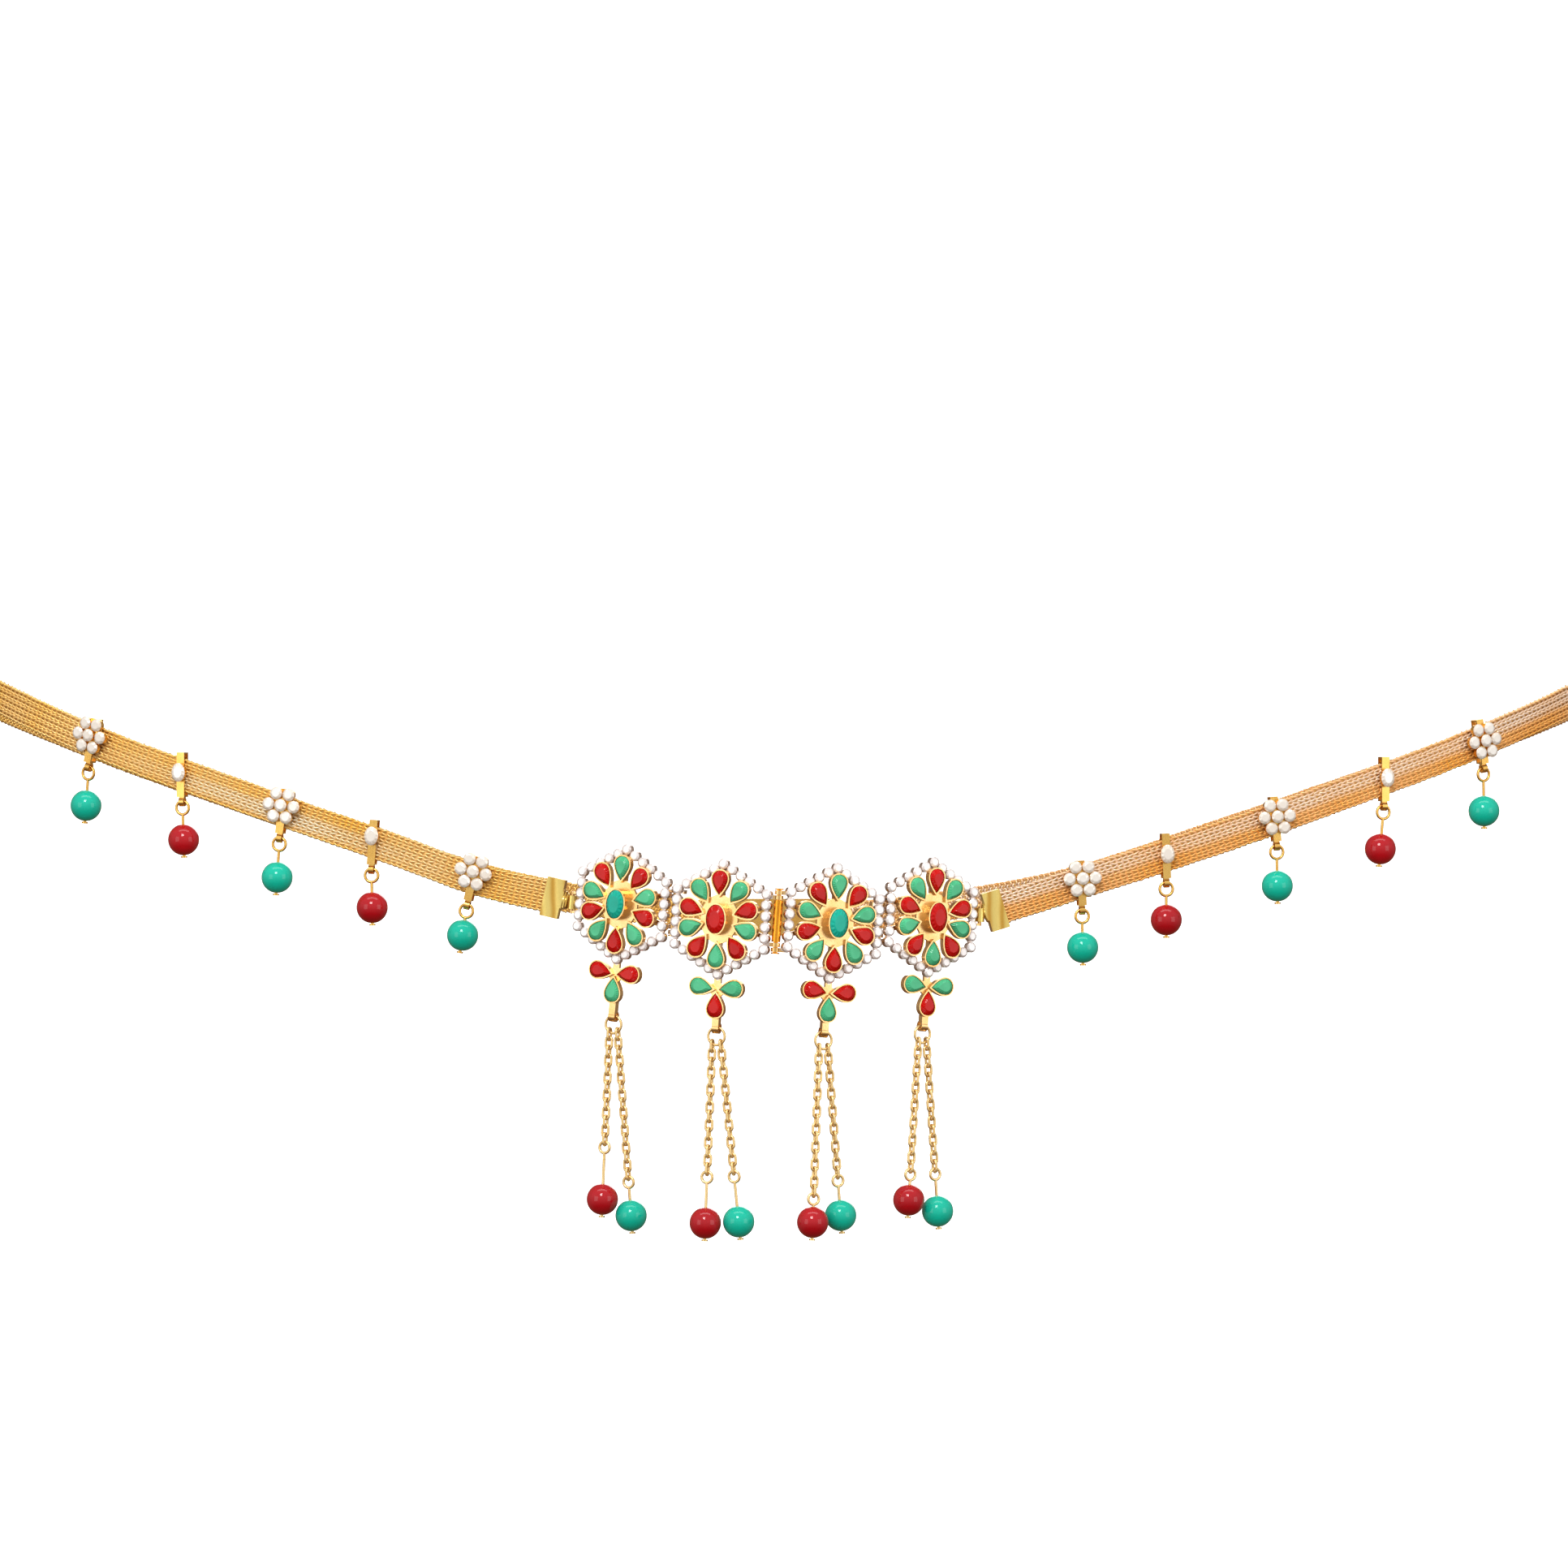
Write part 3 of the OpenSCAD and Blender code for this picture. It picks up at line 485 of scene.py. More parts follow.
def pear(round_radius: float, tip: float, half: int) -> np.ndarray:
    """Points of a pear in millimetres, anticlockwise, with its tip below.

    The upper half is half a circle about the origin. The flanks' half width falls with the power
    1.7 of the way to the tip, so that they bulge.

    Args:
        round_radius: Radius of the round end.
        tip: Distance from its middle to the tip.
        half: Steps of the half circle, and of both flanks together.

    Returns:
        (2 * half, 2) points.
    """
    bulge = 1.7
    arc = np.linspace(0, pi, half + 1)
    way = np.arange(1, half // 2) / (half // 2)
    flank = np.stack([round_radius * (1 - way**bulge), -tip * way], axis=1)
    top = round_radius * np.stack([np.cos(arc), np.sin(arc)], axis=1)
    return np.vstack([top, flank * [-1, 1], [[0, -tip]], flank[::-1]])


@dataclass(frozen=True)
class Cut:
    """How a stone is cut, as heights in millimetres and shares of its outline.

    Attributes:
        foot: Height and share at its back.
        girdle: Height and share of its widest part, twice.
        crown: Height and share of the corners between girdle and table.
        table: Height and share of its flat top.
    """

    foot: tuple[float, float]
    girdle: tuple[float, float, float]
    crown: tuple[float, float]
    table: tuple[float, float]

    def stone(self, outline: np.ndarray, middle: tuple[float, float]) -> tuple[np.ndarray, list[np.ndarray]]:
        """Cuts a stone.

        Straight rings of corners make the foot and girdle. The crown's corners sit half a step
        round, so that triangles rise from the girdle to them and on to the table.

        Args:
            outline: (n, 2) points of the widest part, anticlockwise, with n even.
            middle: The point that the outline shrinks towards.

        Returns:
            (points in millimetres, faces).
        """
        n = len(outline)
        half = n // 2
        core = np.array(middle)
        levels = [self.foot, (self.girdle[0], self.girdle[2]), (self.girdle[1], self.girdle[2])]
        rings = [np.column_stack([core + (outline - core) * s, np.full(n, h)]) for h, s in levels]
        between = outline[1::2]
        table = outline[0::2]
        rings.append(np.column_stack([core + (between - core) * self.crown[1], np.full(half, self.crown[0])]))
        rings.append(np.column_stack([core + (table - core) * self.table[1], np.full(half, self.table[0])]))
        i, j = np.arange(n), np.arange(half)
        low, mid, top = 2 * n, 3 * n, 3 * n + half
        after = (j + 1) % half
        turned = (i + 1) % n
        quads = np.concatenate([np.stack([i, turned, n + turned, n + i], 1) + k * n for k in (0, 1)])
        even, odd, nxt = low + 2 * j, low + 2 * j + 1, low + (2 * j + 2) % n
        triangles = np.concatenate(
            [
                np.stack([even, odd, mid + j], 1),
                np.stack([odd, nxt, mid + j], 1),
                np.stack([top + after, top + j, mid + j], 1),
            ]
        )
        kites = np.stack([low + 2 * after, mid + after, top + after, mid + j], 1)
        caps = [i[::-1][None], (top + j)[None]]
        return np.vstack(rings), [quads, triangles, kites, *caps]


@dataclass
class Setting:
    """A place for stones: a frame of directions and a point in the belt.

    Attributes:
        origin: The point, in millimetres.
        axes: (3, 3) directions: to the right, up and out of the face.
    """

    origin: np.ndarray
    axes: np.ndarray

    def place(self, points: np.ndarray) -> np.ndarray:
        """Points of the setting's own frame in millimetres, as points of the belt in metres."""
        return (self.origin + points @ self.axes) * MM

    def moved(self, right: float, up: float, out: float) -> "Setting":
        """The same frame at another point."""
        return Setting(self.origin + np.array([right, up, out]) @ self.axes, self.axes)

    def spun(self, degrees: float) -> "Setting":
        """The same point, with the frame turned anticlockwise in its own plane."""
        c, s = cos(radians(degrees)), sin(radians(degrees))
        return Setting(self.origin, np.array([[c, s, 0], [-s, c, 0], [0, 0, 1.0]]) @ self.axes)

    def stone(
        self, cut: Cut, outline: np.ndarray, middle: tuple[float, float] = (0.0, 0.0), tone: float = 0.5
    ) -> Surface:
        """A cut stone in this place, whose tone deepens from its table down to its girdle.

        Args:
            cut: How it is cut.
            outline: (n, 2) points of its widest part in millimetres.
            middle: The point that the outline shrinks towards.
            tone: Its own share of the deep colour, to which painted shade is added.

        Returns:
            Its surface.
        """
        # Painted shade: the tone deepens from the table down to the girdle.
        own_part, painted_shade_part = 0.35, 0.75
        points, faces = cut.stone(outline, middle)
        depth = np.clip((cut.table[0] - points[:, 2]) / (cut.table[0] - cut.girdle[1]), 0, 1)
        return Surface(self.place(points), faces, np.clip(own_part * tone + painted_shade_part * depth**2, 0, 1))


def facing(origin: np.ndarray, turn: float, lean: float) -> Setting:
    """The frame of a face.

    Args:
        origin: Its point in millimetres.
        turn: Degrees that it is turned to the right about the vertical.
        lean: Degrees that its top leans to the right.

    Returns:
        The setting.
    """
    t, e = radians(turn), radians(lean)
    level = np.array([cos(t), sin(t), 0.0])
    rise = np.array([0.0, 0.0, 1.0])
    out = np.array([sin(t), -cos(t), 0.0])
    axes = np.array([cos(e) * level - sin(e) * rise, cos(e) * rise + sin(e) * level, out])
    return Setting(np.asarray(origin, float), axes)


# The belt's plan


@dataclass(frozen=True)
class Sizes:
    """The part's own sizes, in millimetres, that the stones sit by.

    Attributes:
        front_depth: Distance of the fold between the middle plaques in front of the mount.
        front_drop: Distance of the plaques' middles below the mount.
        fold_shift: How far the fold lies to the left.
        rim_radius: Radius of the rim's corners.
        rim_cup: Width of a rim cup.
        rim_top: Height of the rim cups' edge.
        plate: Thickness of a plate.
        rim_gap: Space between an outer plaque and its neighbour.
        fold_gap: Space between the middle plaques.
        flower_lift: Height of the flower's plate.
        trefoil_lift: Height of the trefoil's plate.
        reach_x: Reach of the petals sideways.
        reach_y: Reach of the petals up and down.
        centre_width: Width of the centre stone.
        centre_height: Height of the centre stone.
        centre_lift: How far the centre stone is raised above the petals.
        pear_width: Width of a petal stone.
        pear_length: Length of a petal stone.
        trefoil_drop: Distance of the trefoil's middle below the plaque's.
        leaf_gap: Distance of the leaves' tips from the trefoil's middle.
        clip_outer: Depth of a clip round the band.
        flower_ring: Radius of the ring of six stones in a band flower.
        stones_per_side: Stones to a side of the rim.
        leaves: Directions of the trefoil's leaves in degrees, the lowest last.
    """

    front_depth: float = 118.0
    front_drop: float = 29.9
    fold_shift: float = 1.5
    rim_radius: float = 12.25
    rim_cup: float = 2.3
    rim_top: float = 1.25
    plate: float = 0.7
    rim_gap: float = 0.5
    fold_gap: float = 2.4
    flower_lift: float = 1.3
    trefoil_lift: float = 0.1
    reach_x: float = 9.2
    reach_y: float = 10.7
    centre_width: float = 4.2
    centre_height: float = 6.3
    centre_lift: float = 1.5
    pear_width: float = 3.5
    pear_length: float = 5.1
    trefoil_drop: float = 15.7
    leaf_gap: float = 1.0
    clip_outer: float = 2.4
    flower_ring: float = 2.95
    stones_per_side: int = 5
    leaves: tuple[float, ...] = (172.0, 6.0, 270.0)

    @property
    def pear_round(self) -> float:
        """Radius of a pear stone's round end."""
        return self.pear_width / 2

    @property
    def pear_tip(self) -> float:
        """Distance from the round end's middle to the tip."""
        return self.pear_length - self.pear_round


@dataclass(frozen=True)
class PlaqueRow:
    """How one plaque lies, in millimetres and degrees.

    Attributes:
        turn: How far it is turned to the right about the vertical.
        lean: How far its top leans to the right.
        rise: Its height above the row's middle.
        red_centre: Whether its centre stone is red.
    """

    turn: float
    lean: float
    rise: float
    red_centre: bool


@dataclass(frozen=True)
class DropRow:
    """A setting on the band, in millimetres and degrees.

    Attributes:
        along: Distance along the band.
        flower: Whether it is a flower and not a single stone.
        lift: Height above the band's middle.
        foot_lean: Lean of its foot to the right.
    """

    along: float
    flower: bool
    lift: float
    foot_lean: float


class Side(Enum):
    """A side of the belt, as the viewer sees it."""

    LEFT = "left"
    RIGHT = "right"


SIZES = Sizes()
PLAQUES = (
    PlaqueRow(-28, 6.5, 3.2, False),
    PlaqueRow(-21, 3.5, 0.0, True),
    PlaqueRow(22, 4.5, -0.9, False),
    PlaqueRow(30, 3.5, 0.3, True),
)
DROPS = {
    Side.LEFT: (
        DropRow(20.2, True, 1.6, -14),
        DropRow(44.6, False, 1.4, -4),
        DropRow(66.6, True, 1.3, -8),
        DropRow(92.1, False, 0.5, 0),
        DropRow(116.0, True, 1.2, -12),
    ),
    Side.RIGHT: (
        DropRow(22.0, True, 1.0, 3),
        DropRow(42.3, False, 0.4, 2),
        DropRow(68.8, True, 0.5, 5),
        DropRow(96.4, False, 0.3, 0),
        DropRow(122.3, True, 0.2, 9),
    ),
}


def plaque_settings(sizes: Sizes) -> list[Setting]:
    """Finds the frames of the plaques, walking outwards from the fold between the middle two.

    Args:
        sizes: The part's sizes.

    Returns:
        The four frames, from the viewer's left.
    """
    half = sizes.rim_radius * cos(pi / 6) + sizes.rim_cup / 2
    steps = [half * np.array([cos(radians(p.turn)), sin(radians(p.turn)), 0]) for p in PLAQUES]
    fold = np.array([-sizes.fold_shift, -sizes.front_depth, 0])
    gap, rim = np.array([sizes.fold_gap / 2, 0, 0]), np.array([sizes.rim_gap, 0, 0])
    second, third = fold - gap - steps[1], fold + gap + steps[2]
    middles = [second - steps[1] - steps[0] - rim, second, third, third + steps[2] + steps[3] + rim]
    return [
        facing(m + [0, 0, p.rise - sizes.front_drop], p.turn, p.lean) for m, p in zip(middles, PLAQUES)
    ]


# Sub-assemblies


@dataclass
class PlaqueStones:
    """The stones of one plaque.

    Attributes:
        number: The plaque's number from the viewer's left.
        row: How it lies.
        setting: Its frame.
        palette: The materials.
        rim_stone: Width of a rim stone in millimetres.
        rim_cut: How the rim's clear stones are cut.
        gem_cut: How the petals, leaves and centre stone are cut.
    """

    number: int
    row: PlaqueRow
    setting: Setting
    palette: Palette
    rim_stone: float = 2.36
    rim_cut: Cut = Cut((0.8, 0.6), (1.26, 1.32, 1.0), (1.56, 0.84), (1.7, 0.62))
    gem_cut: Cut = Cut((0.10, 0.84), (0.62, 0.76, 1.0), (1.22, 0.86), (1.55, 0.60))

    def rim(self, random: np.random.Generator) -> None:
        """Clear stones in the cups of the rim, round each side in turn.

        Args:
            random: Gives each stone its turn and tone.
        """
        outline = oval(self.rim_stone, self.rim_stone, 16)
        pitch = SIZES.rim_radius / SIZES.stones_per_side
        stones = []
        for side in range(6):
            spun = self.setting.spun(60 * side)
            for k in range(SIZES.stones_per_side):
                place = spun.moved(k * pitch * cos(pi / 6), SIZES.rim_radius - k * pitch / 2, 0)
                spin = random.uniform(0, 45)
                stones.append(place.spun(spin).stone(self.rim_cut, outline, tone=random.random()))
        piece = Surface.join(stones).build(f"rim_stones_{self.number}", smooth=False)
        self.palette.put(piece, "crystal")

    def petals(self, red: bool) -> None:
        """The petals of one colour and the trefoil's leaves of that colour.

        A petal's round end lies on an ellipse. Its distance from the middle, at an angle, is the
        power -1/2 of the sum of the squares of cosine over one half axis and sine over the other.

        Args:
            red: Whether they are the red ones.
        """
        outline = pear(SIZES.pear_round, SIZES.pear_tip, 24)
        middle = (0.0, -0.2 * SIZES.pear_tip)
        first = red == self.row.red_centre
        stones = []
        base = self.setting.moved(0, 0, SIZES.flower_lift + SIZES.plate)
        for k in range(0 if first else 1, 10, 2):
            a = radians(90 + 36 * k)
            ellipse = ((cos(a) / SIZES.reach_x) ** 2 + (sin(a) / SIZES.reach_y) ** 2) ** -0.5
            reach = ellipse - SIZES.pear_round
            place = base.moved(reach * cos(a), reach * sin(a), 0).spun(36 * k)
            stones.append(place.stone(self.gem_cut, outline, middle))
        base = self.setting.moved(0, -SIZES.trefoil_drop, SIZES.trefoil_lift + SIZES.plate)
        for angle in SIZES.leaves[2:] if first else SIZES.leaves[:2]:
            reach = SIZES.pear_tip + SIZES.leaf_gap
            place = base.moved(reach * cos(radians(angle)), reach * sin(radians(angle)), 0).spun(angle - 90)
            stones.append(place.stone(self.gem_cut, outline, middle))
        colour = "red" if red else "green"
        piece = Surface.join(stones).build(f"{colour}_cut_petals_{self.number}", smooth=False)
        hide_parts(f"{colour}_petals_{self.number}")
        self.palette.put(piece, f"{colour}_stone")

    def centre(self) -> None:
        """The oval stone in the middle of the flower."""
        base = self.setting.moved(0, 0, SIZES.flower_lift + SIZES.centre_lift + SIZES.plate)
        stone = base.stone(self.gem_cut, oval(SIZES.centre_width, SIZES.centre_height, 32))
        piece = stone.build(f"centre_cut_stone_{self.number}", smooth=False)
        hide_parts(f"centre_stone_{self.number}")
        self.palette.put(piece, "red_stone" if self.row.red_centre else "teal_stone")


@dataclass
class Route:
    """The band's middle line, read from the rings of corners of its CAD node.

    Attributes:
        middles: (rings, 3) points in metres, from the end cap to the clasp.
        hand: 1 where the band runs to the right in front, and -1 where it runs to the left.
        CORNERS: Corners of a ring.
        OUTWARD: The ring whose place tells the hand.
    """

    middles: np.ndarray
    hand: float

    CORNERS: ClassVar[int] = 8
    OUTWARD: ClassVar[int] = 9

    @staticmethod
    def of(node: bpy.types.Object, start: Vector) -> "Route":
        """Finds the rings one after another: each is the corners nearest to where it is expected.

        Args:
            node: The band's CAD node.
            start: A point near its first ring.

        Returns:
            The route.
        """
        corners = np.zeros(len(node.data.vertices) * 3)
        node.data.vertices.foreach_get("co", corners)
        corners = np.unique(corners.reshape(-1, 3).round(6), axis=0)
        guess, middles = np.array(start), []
        while len(corners) >= Route.CORNERS:
            order = np.argsort(np.linalg.norm(corners - guess, axis=1))
            middles.append(corners[order[: Route.CORNERS]].mean(axis=0))
            corners = corners[order[Route.CORNERS :]]
            guess = middles[-1] + (middles[-1] - middles[-2] if len(middles) > 1 else 0)
        return Route(np.array(middles), float(np.sign(middles[Route.OUTWARD][0])))

    @property
    def lengths(self) -> np.ndarray:
        """Distance of each ring along the band."""
        return np.concatenate([[0], np.cumsum(np.linalg.norm(np.diff(self.middles, axis=0), axis=1))])

    def at(self, along: np.ndarray) -> tuple[np.ndarray, np.ndarray, np.ndarray, np.ndarray]:
        """Points and directions of the band.

        Args:
            along: Distances from the end cap in metres.

        Returns:
            (points, headings, upward directions, directions out of its front).
        """
        lengths = self.lengths
        heading = np.gradient(self.middles, lengths, axis=0)
        point, ahead = (
            np.stack([np.interp(along, lengths, values[:, k]) for k in range(3)], axis=-1)
            for values in (self.middles, heading)
        )
        ahead = unit(ahead)
        up = unit(np.array([0, 0, 1.0]) - ahead[..., 2:] * ahead)
        return point, ahead, up, self.hand * np.cross(ahead, up)


@dataclass
class KnitBand:
    """One half of the woven band.

    Attributes:
        side: The side of the belt that it is on.
        route: Its middle line.
        palette: The materials.
        course: Distance from one row of loops to the next in millimetres.
        wales: Loops across the band.
        height: Height of the knit in millimetres.
        wire: Radius of its wire in millimetres.
        depth: How far its wire swings forward and back in millimetres.
        margin: Distance of the first and last course from the ends in millimetres.
        end_gap: The least distance of the wire and core from the ends in millimetres.
        sway: Sideways swing of a loop's legs, as a share of its width.
        overlap: Reach of a loop past its own row, as a share of the course.
        shift: Unevenness of the courses' places in millimetres.
        swell: Unevenness of the courses' width, as a share of it.
        steps: Points of the wire to a loop.
        core_inset: Distance of the core's edges inside the knit's in millimetres.
        core_half: Half the core's thickness in millimetres.
        core_steps: Rings of corners along the core.
        stone_cut: How the clear stones in its settings are cut.
        flower_stone: Width of a flower's stone in millimetres.
        single_stone: Width and height of a single stone in millimetres.
    """

    side: Side
    route: Route
    palette: Palette
    course: float = 1.38
    wales: int = 5
    height: float = 7.1
    wire: float = 0.25
    depth: float = 0.36
    margin: float = 0.8
    end_gap: float = 0.3
    sway: float = 0.24
    overlap: float = 0.92
    shift: float = 0.03
    swell: float = 0.012
    steps: int = 12
    core_inset: float = 0.35
    core_half: float = 0.12
    core_steps: int = 260
    stone_cut: Cut = Cut((0.55, 0.36), (1.30, 1.36, 1.0), (1.62, 0.84), (1.78, 0.58))
    flower_stone: float = 2.84
    single_stone: tuple[float, float] = (3.2, 4.2)

    def knit(self, random: np.random.Generator) -> None:
        """Knit wire: each course crosses the band as a row of loops that reach into the next course.

        Across the band the wire advances evenly plus a sine of twice its angle, along the band it
        follows the cosine of its angle, and in depth the cosine of twice its angle, which brings
        the loops' legs forward as a row of Vs.

        Args:
            random: Makes the courses a little uneven.
        """
        total = self.route.lengths[-1] / MM
        courses = int((total - 2 * self.margin) / self.course)
        t = np.linspace(0, 2 * pi * self.wales, self.wales * self.steps + 1)
        wale = self.height / self.wales
        across = wale * t / (2 * pi) - self.height / 2 + self.sway * wale * np.sin(2 * t)
        reach = self.overlap * self.course * np.cos(t)
        depth = -self.depth * np.cos(2 * t)
        shift = random.normal(0, self.shift, courses)
        start = self.margin + self.course * (np.arange(courses) + 0.5) + shift
        along = np.clip(start[:, None] + reach, self.end_gap, total - self.end_gap)
        point, ahead, up, out = self.route.at(along * MM)
        swell = 1 + random.normal(0, self.swell, (courses, 1))
        depth = depth * np.ones_like(along)
        paths = point + (across * swell)[..., None] * MM * up + depth[..., None] * MM * out
        aside = out + 0.3 * up
        tones = self.tones(start[:, None], across / self.height)
        surface = wires(paths, self.wire * MM, 4, aside, tones)
        piece = surface.build(f"knit_band_{self.side.value}", smooth=True)
        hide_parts(f"band_{self.side.value}")
        self.palette.put(piece, f"knit_{self.side.value}")

    def tones(self, start: np.ndarray, level: np.ndarray) -> np.ndarray:
        """How deep the wire's colour is: the band has a pale strip along it.

        The strip is a painted reflection, and fades with the power 4 of the distance from its middle. On the
        left it is one long stretch, and on the right it runs along the whole band, from a little higher at
        the end cap.

        Args:
            start: (courses, 1) distances along the band in millimetres.
            level: (points,) places across the band, from -0.5 to 0.5.

        Returns:
            (courses, points) numbers from 0 to 1.
        """
        # Painted reflection: a pale strip along the band, where its rounded knit would catch the light.
        deepest, half_width = 0.95, 0.25
        if self.side is Side.LEFT:
            sheen_at, sheen_length = 68.0, 26.0
            painted_sheen, middle = np.exp(-(((start - sheen_at) / sheen_length) ** 2)), -0.14
        else:
            painted_sheen = 0.9 + 0.1 * np.sin(start / 9.0)
            middle = 0.18 + 0.12 * np.exp(-((start / 30.0) ** 2))
        return deepest - deepest * painted_sheen * np.exp(-(((level - middle) / half_width) ** 4))

    def core(self) -> None:
        """A flat strip inside the knit, which darkens the gaps between its wires.

        Its dark gold is painted shade in the gaps. Its corners go round the other way on the other half, so
        that both strips' faces point outwards.
        """
        total, gap = self.route.lengths[-1], self.end_gap * MM
        point, _, up, out = self.route.at(np.linspace(gap, total - gap, self.core_steps))
        height, thick = self.height / 2 - self.core_inset, self.core_half
        corners = [(-height, -thick), (-height, thick), (height, thick), (height, -thick)]
        away = -self.route.hand * out
        rings = np.stack([point + (u * up + o * away) * MM for u, o in corners], axis=1)
        index = np.arange(rings.shape[0] * 4).reshape(-1, 4)
        turned = np.roll(index, -1, axis=1)
        quads = np.stack([index[:-1], turned[:-1], turned[1:], index[1:]], axis=-1).reshape(-1, 4)
        ends = np.stack([index[0, ::-1], index[-1]])
        surface = Surface(rings.reshape(-1, 3), [quads, ends], np.zeros(rings.shape[0] * 4))
        piece = surface.build(f"band_core_{self.side.value}", smooth=False)
        self.palette.put(piece, "core")

    def stones(self, random: np.random.Generator) -> None:
        """Clear stones in the settings: seven in a flower, or one oval.

        Args:
            random: Gives each stone its tone.
        """
        sunk, centre_lift = 0.1, 0.35
        stones = []
        for drop in DROPS[self.side]:
            point, ahead, _, _ = self.route.at(np.array(drop.along * MM))
            level = self.route.hand * ahead
            turn = np.degrees(np.arctan2(level[1], level[0]))
            face = facing(point / MM, turn, -drop.foot_lean)
            face = face.moved(0, drop.lift, SIZES.clip_outer / 2 - sunk)
            if drop.flower:
                places = [face.moved(0, 0, centre_lift)] + [
                    face.spun(a).moved(SIZES.flower_ring, 0, 0) for a in range(0, 360, 60)
                ]
                outline = oval(self.flower_stone, self.flower_stone, 16)
            else:
                places, outline = [face], oval(*self.single_stone, 24)
            stones += [p.stone(self.stone_cut, outline, tone=random.random()) for p in places]
        piece = Surface.join(stones).build(f"band_stones_{self.side.value}", smooth=False)
        self.palette.put(piece, "band_crystal")


# Studio


@dataclass(frozen=True)
class Lamp:
    """A soft box of the studio.

    Attributes:
        name: Its name.
        place: Its middle in metres.
        size: Its width and height in metres.
        watts: Its power.
    """

    name: str
    place: Point
    size: tuple[float, float]
    watts: float


LAMPS = (
    Lamp("key", (-0.35, -2.1, 1.4), (0.7, 0.7), 24.0),
    Lamp("left_box", (-1.7, -1.6, 0.15), (1.1, 1.3), 5.5),
    Lamp("right_box", (1.8, -1.5, 0.15), (1.1, 1.3), 5.5),
    Lamp("top", (0.0, -0.6, 2.0), (2.4, 0.5), 10.0),
    Lamp("back", (0.3, 2.2, 1.0), (1.6, 1.2), 16.0),
)


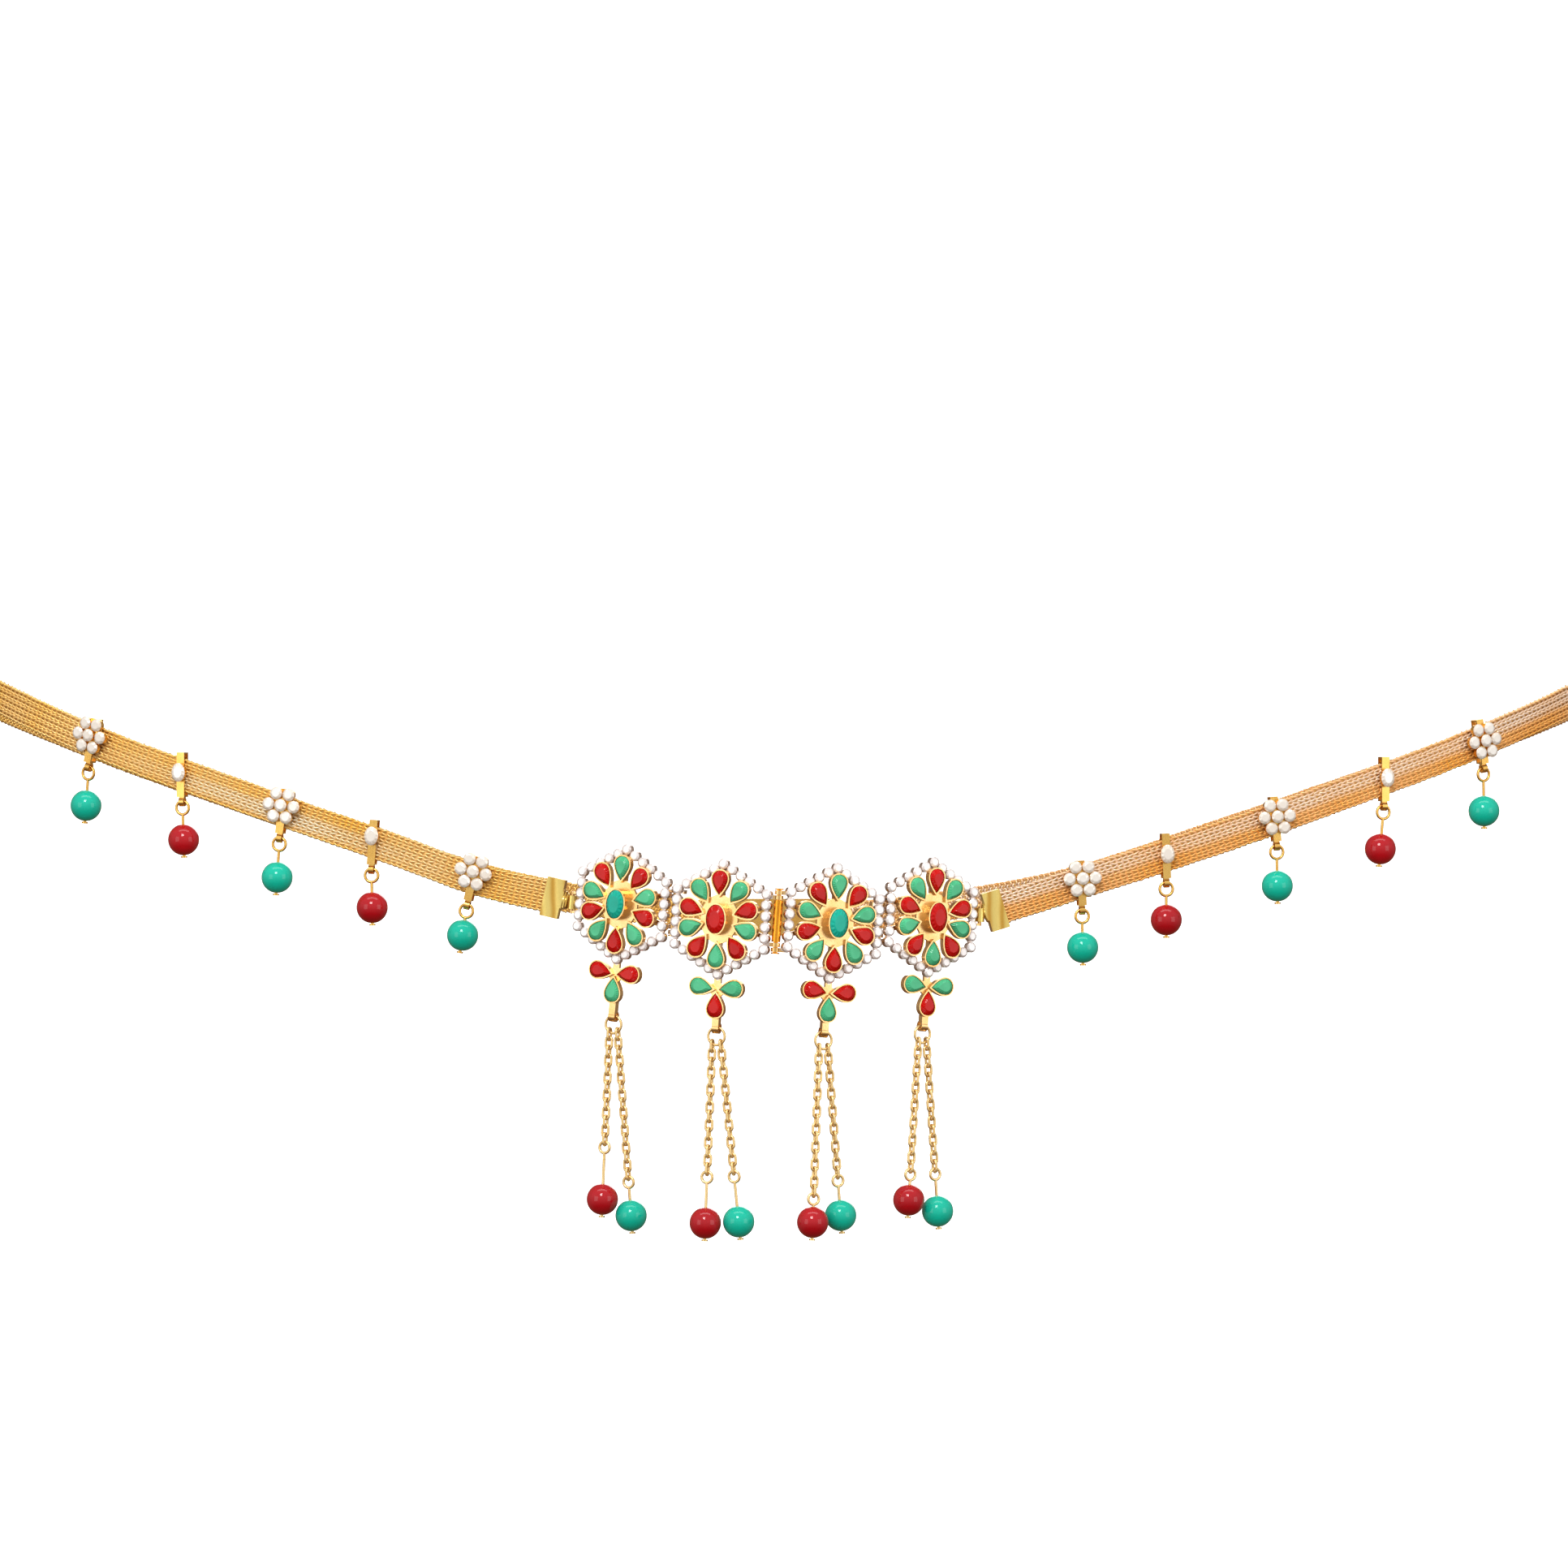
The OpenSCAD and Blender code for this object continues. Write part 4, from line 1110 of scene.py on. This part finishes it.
@dataclass
class Studio:
    """The white studio: sweep, lights, world and camera, in metres.

    Attributes:
        floor: Height of the floor.
        wide: Radius of the round wall.
        bend: Radius of the curve between floor and wall.
        pixels: Width of the photograph.
        pixel: Size of one of its pixels in the plane of the plaques.
        front: Place of that plane.
        distance: Distance from it to the camera.
        aim: The point that the lamps shine towards.
    """

    floor: float = -0.42
    wide: float = 7.0
    bend: float = 1.2
    pixels: int = 1932
    pixel: float = 0.18 * MM
    front: float = -0.110
    distance: float = 2.9
    aim: Point = (0.0, -0.05, 0.0)

    def sweep(self) -> None:
        """A pale round floor that curves up into a wall, wide enough to hold each view's camera."""
        count, bend_steps, inner = 96, 12, 0.5
        arc = np.linspace(0, pi / 2, bend_steps + 1)
        across = self.wide - self.bend + self.bend * np.sin(arc)
        upward = self.floor + self.bend - self.bend * np.cos(arc)
        profile = [(inner, self.floor), *zip(across, upward), (self.wide, self.wide)]
        angle = 2 * pi * np.arange(count) / count
        points = [(r * cos(a), r * sin(a), z) for r, z in profile for a in angle]
        row = np.arange(len(profile) - 1)[:, None] * count
        i = np.arange(count)
        after = (i + 1) % count
        corners = [row + i, row + count + i, row + count + after, row + after]
        quads = np.stack(corners, axis=-1).reshape(-1, 4)
        mesh = bpy.data.meshes.new("sweep")
        mesh.from_pydata(points, [], [*quads.tolist(), list(range(count))])
        sweep = bpy.data.objects.new("sweep", mesh)
        bpy.context.scene.collection.objects.link(sweep)
        material = bpy.data.materials.new("sweep")
        material.use_nodes = True
        graph = Graph(material.node_tree)
        paint = {"Base Color": (0.9, 0.9, 0.9, 1), "Roughness": 0.9}
        glow = {"Emission Color": (1, 1, 1, 1), "Emission Strength": 1.0}
        shader = graph.add("ShaderNodeBsdfPrincipled", {**paint, **glow})
        graph.add("ShaderNodeOutputMaterial", {"Surface": shader})
        mesh.materials.append(material)
        sweep.visible_glossy = sweep.visible_diffuse = sweep.visible_shadow = False

    def lights(self) -> None:
        """A small key from the upper left, a broad box at each side and behind, and a strip overhead."""
        for lamp in LAMPS:
            data = bpy.data.lights.new(lamp.name, "AREA")
            data.shape = "RECTANGLE"
            data.size, data.size_y = lamp.size
            data.energy = lamp.watts
            box = bpy.data.objects.new(lamp.name, data)
            box.location = lamp.place
            heading = Vector(self.aim) - Vector(lamp.place)
            box.rotation_euler = heading.to_track_quat("-Z", "Y").to_euler()
            bpy.context.scene.collection.objects.link(box)

    def world(self) -> None:
        """Soft white light from the front and above, falling off to dark brown behind and below."""
        world = bpy.data.worlds.new("studio")
        bpy.context.scene.world = world
        world.use_nodes = True
        graph = Graph(world.node_tree)
        place = graph.add("ShaderNodeTexCoord", output="Generated")
        back = graph.add("ShaderNodeSeparateXYZ", {0: place}, output="Y")
        height = graph.add("ShaderNodeSeparateXYZ", {0: place}, output="Z")
        brown, white, strength = (0.20, 0.12, 0.07), (1.0, 1.0, 1.0), 0.8
        share = height.rise(-0.7, 0.2) * (1.0 - back.rise(-0.25, 0.75) * 0.9)
        colour = graph.blend(rgba(brown), rgba(white), share)
        shader = graph.add("ShaderNodeBackground", {"Color": colour, "Strength": strength})
        graph.add("ShaderNodeOutputWorld", {"Surface": shader})

    def camera(self) -> None:
        """Looks straight at the front from afar, framed as the photograph is."""
        data = bpy.data.cameras.new("camera")
        data.sensor_width = 36.0
        data.lens = data.sensor_width * self.distance / (self.pixels * self.pixel)
        data.clip_end = 50.0
        camera = bpy.data.objects.new("camera", data)
        camera.location = (0.0, self.front - self.distance, 0.0)
        camera.rotation_euler = (pi / 2, 0.0, 0.0)
        bpy.context.scene.collection.objects.link(camera)
        bpy.context.scene.camera = camera

    def build(self) -> None:
        """Sets up the whole studio."""
        bpy.context.scene.view_settings.view_transform = "Standard"
        self.camera()
        self.sweep()
        self.lights()
        self.world()


def dress_metal(nodes: dict[str, bpy.types.Object], faces: list[Setting], palette: Palette) -> None:
    """Gives the CAD nodes that stay in view their finishes.

    Args:
        nodes: The CAD nodes by name.
        faces: The frames of the four plaques.
        palette: The materials.
    """
    chains = ("tassel_ring", "red_chain", "green_chain")
    for name, node in nodes.items():
        if "bead" in name:
            odd = name.startswith("drop_bead") and int(name[-1]) % 2 == 1
            palette.put(node, "green_bead" if odd or name.startswith("green") else "red_bead")
        elif name.startswith(chains):
            palette.put(node, "chain")
        elif name == "hinge_barrel":
            palette.put(node, "barrel")
        elif name.startswith("end_cap"):
            palette.put(node, "cap")
        elif name.startswith("plaque_"):
            palette.put(node, "flower", faces[int(name[-1]) - 1])
        elif not name.startswith(("centre_stone", "red_petals", "green_petals", "band_")):
            palette.put(node, "gold")


def main() -> None:
    """Dresses the belt and sets up its studio."""
    logging.basicConfig(level=logging.INFO)
    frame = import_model()
    nodes = frame["nodes"]
    random = np.random.default_rng(seed=7)
    palette = Palette()
    Studio().build()
    faces = plaque_settings(SIZES)
    dress_metal(nodes, faces, palette)
    for number, (row, setting) in enumerate(zip(PLAQUES, faces), start=1):
        stones = PlaqueStones(number, row, setting, palette)
        stones.rim(random)
        stones.petals(red=True)
        stones.petals(red=False)
        stones.centre()
    for side in Side:
        low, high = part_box(f"end_cap_{side.value}")
        band = KnitBand(side, Route.of(nodes[f"band_{side.value}"], (low + high) / 2), palette)
        band.knit(random)
        band.core()
        band.stones(random)


if __name__ == "__main__":
    main()
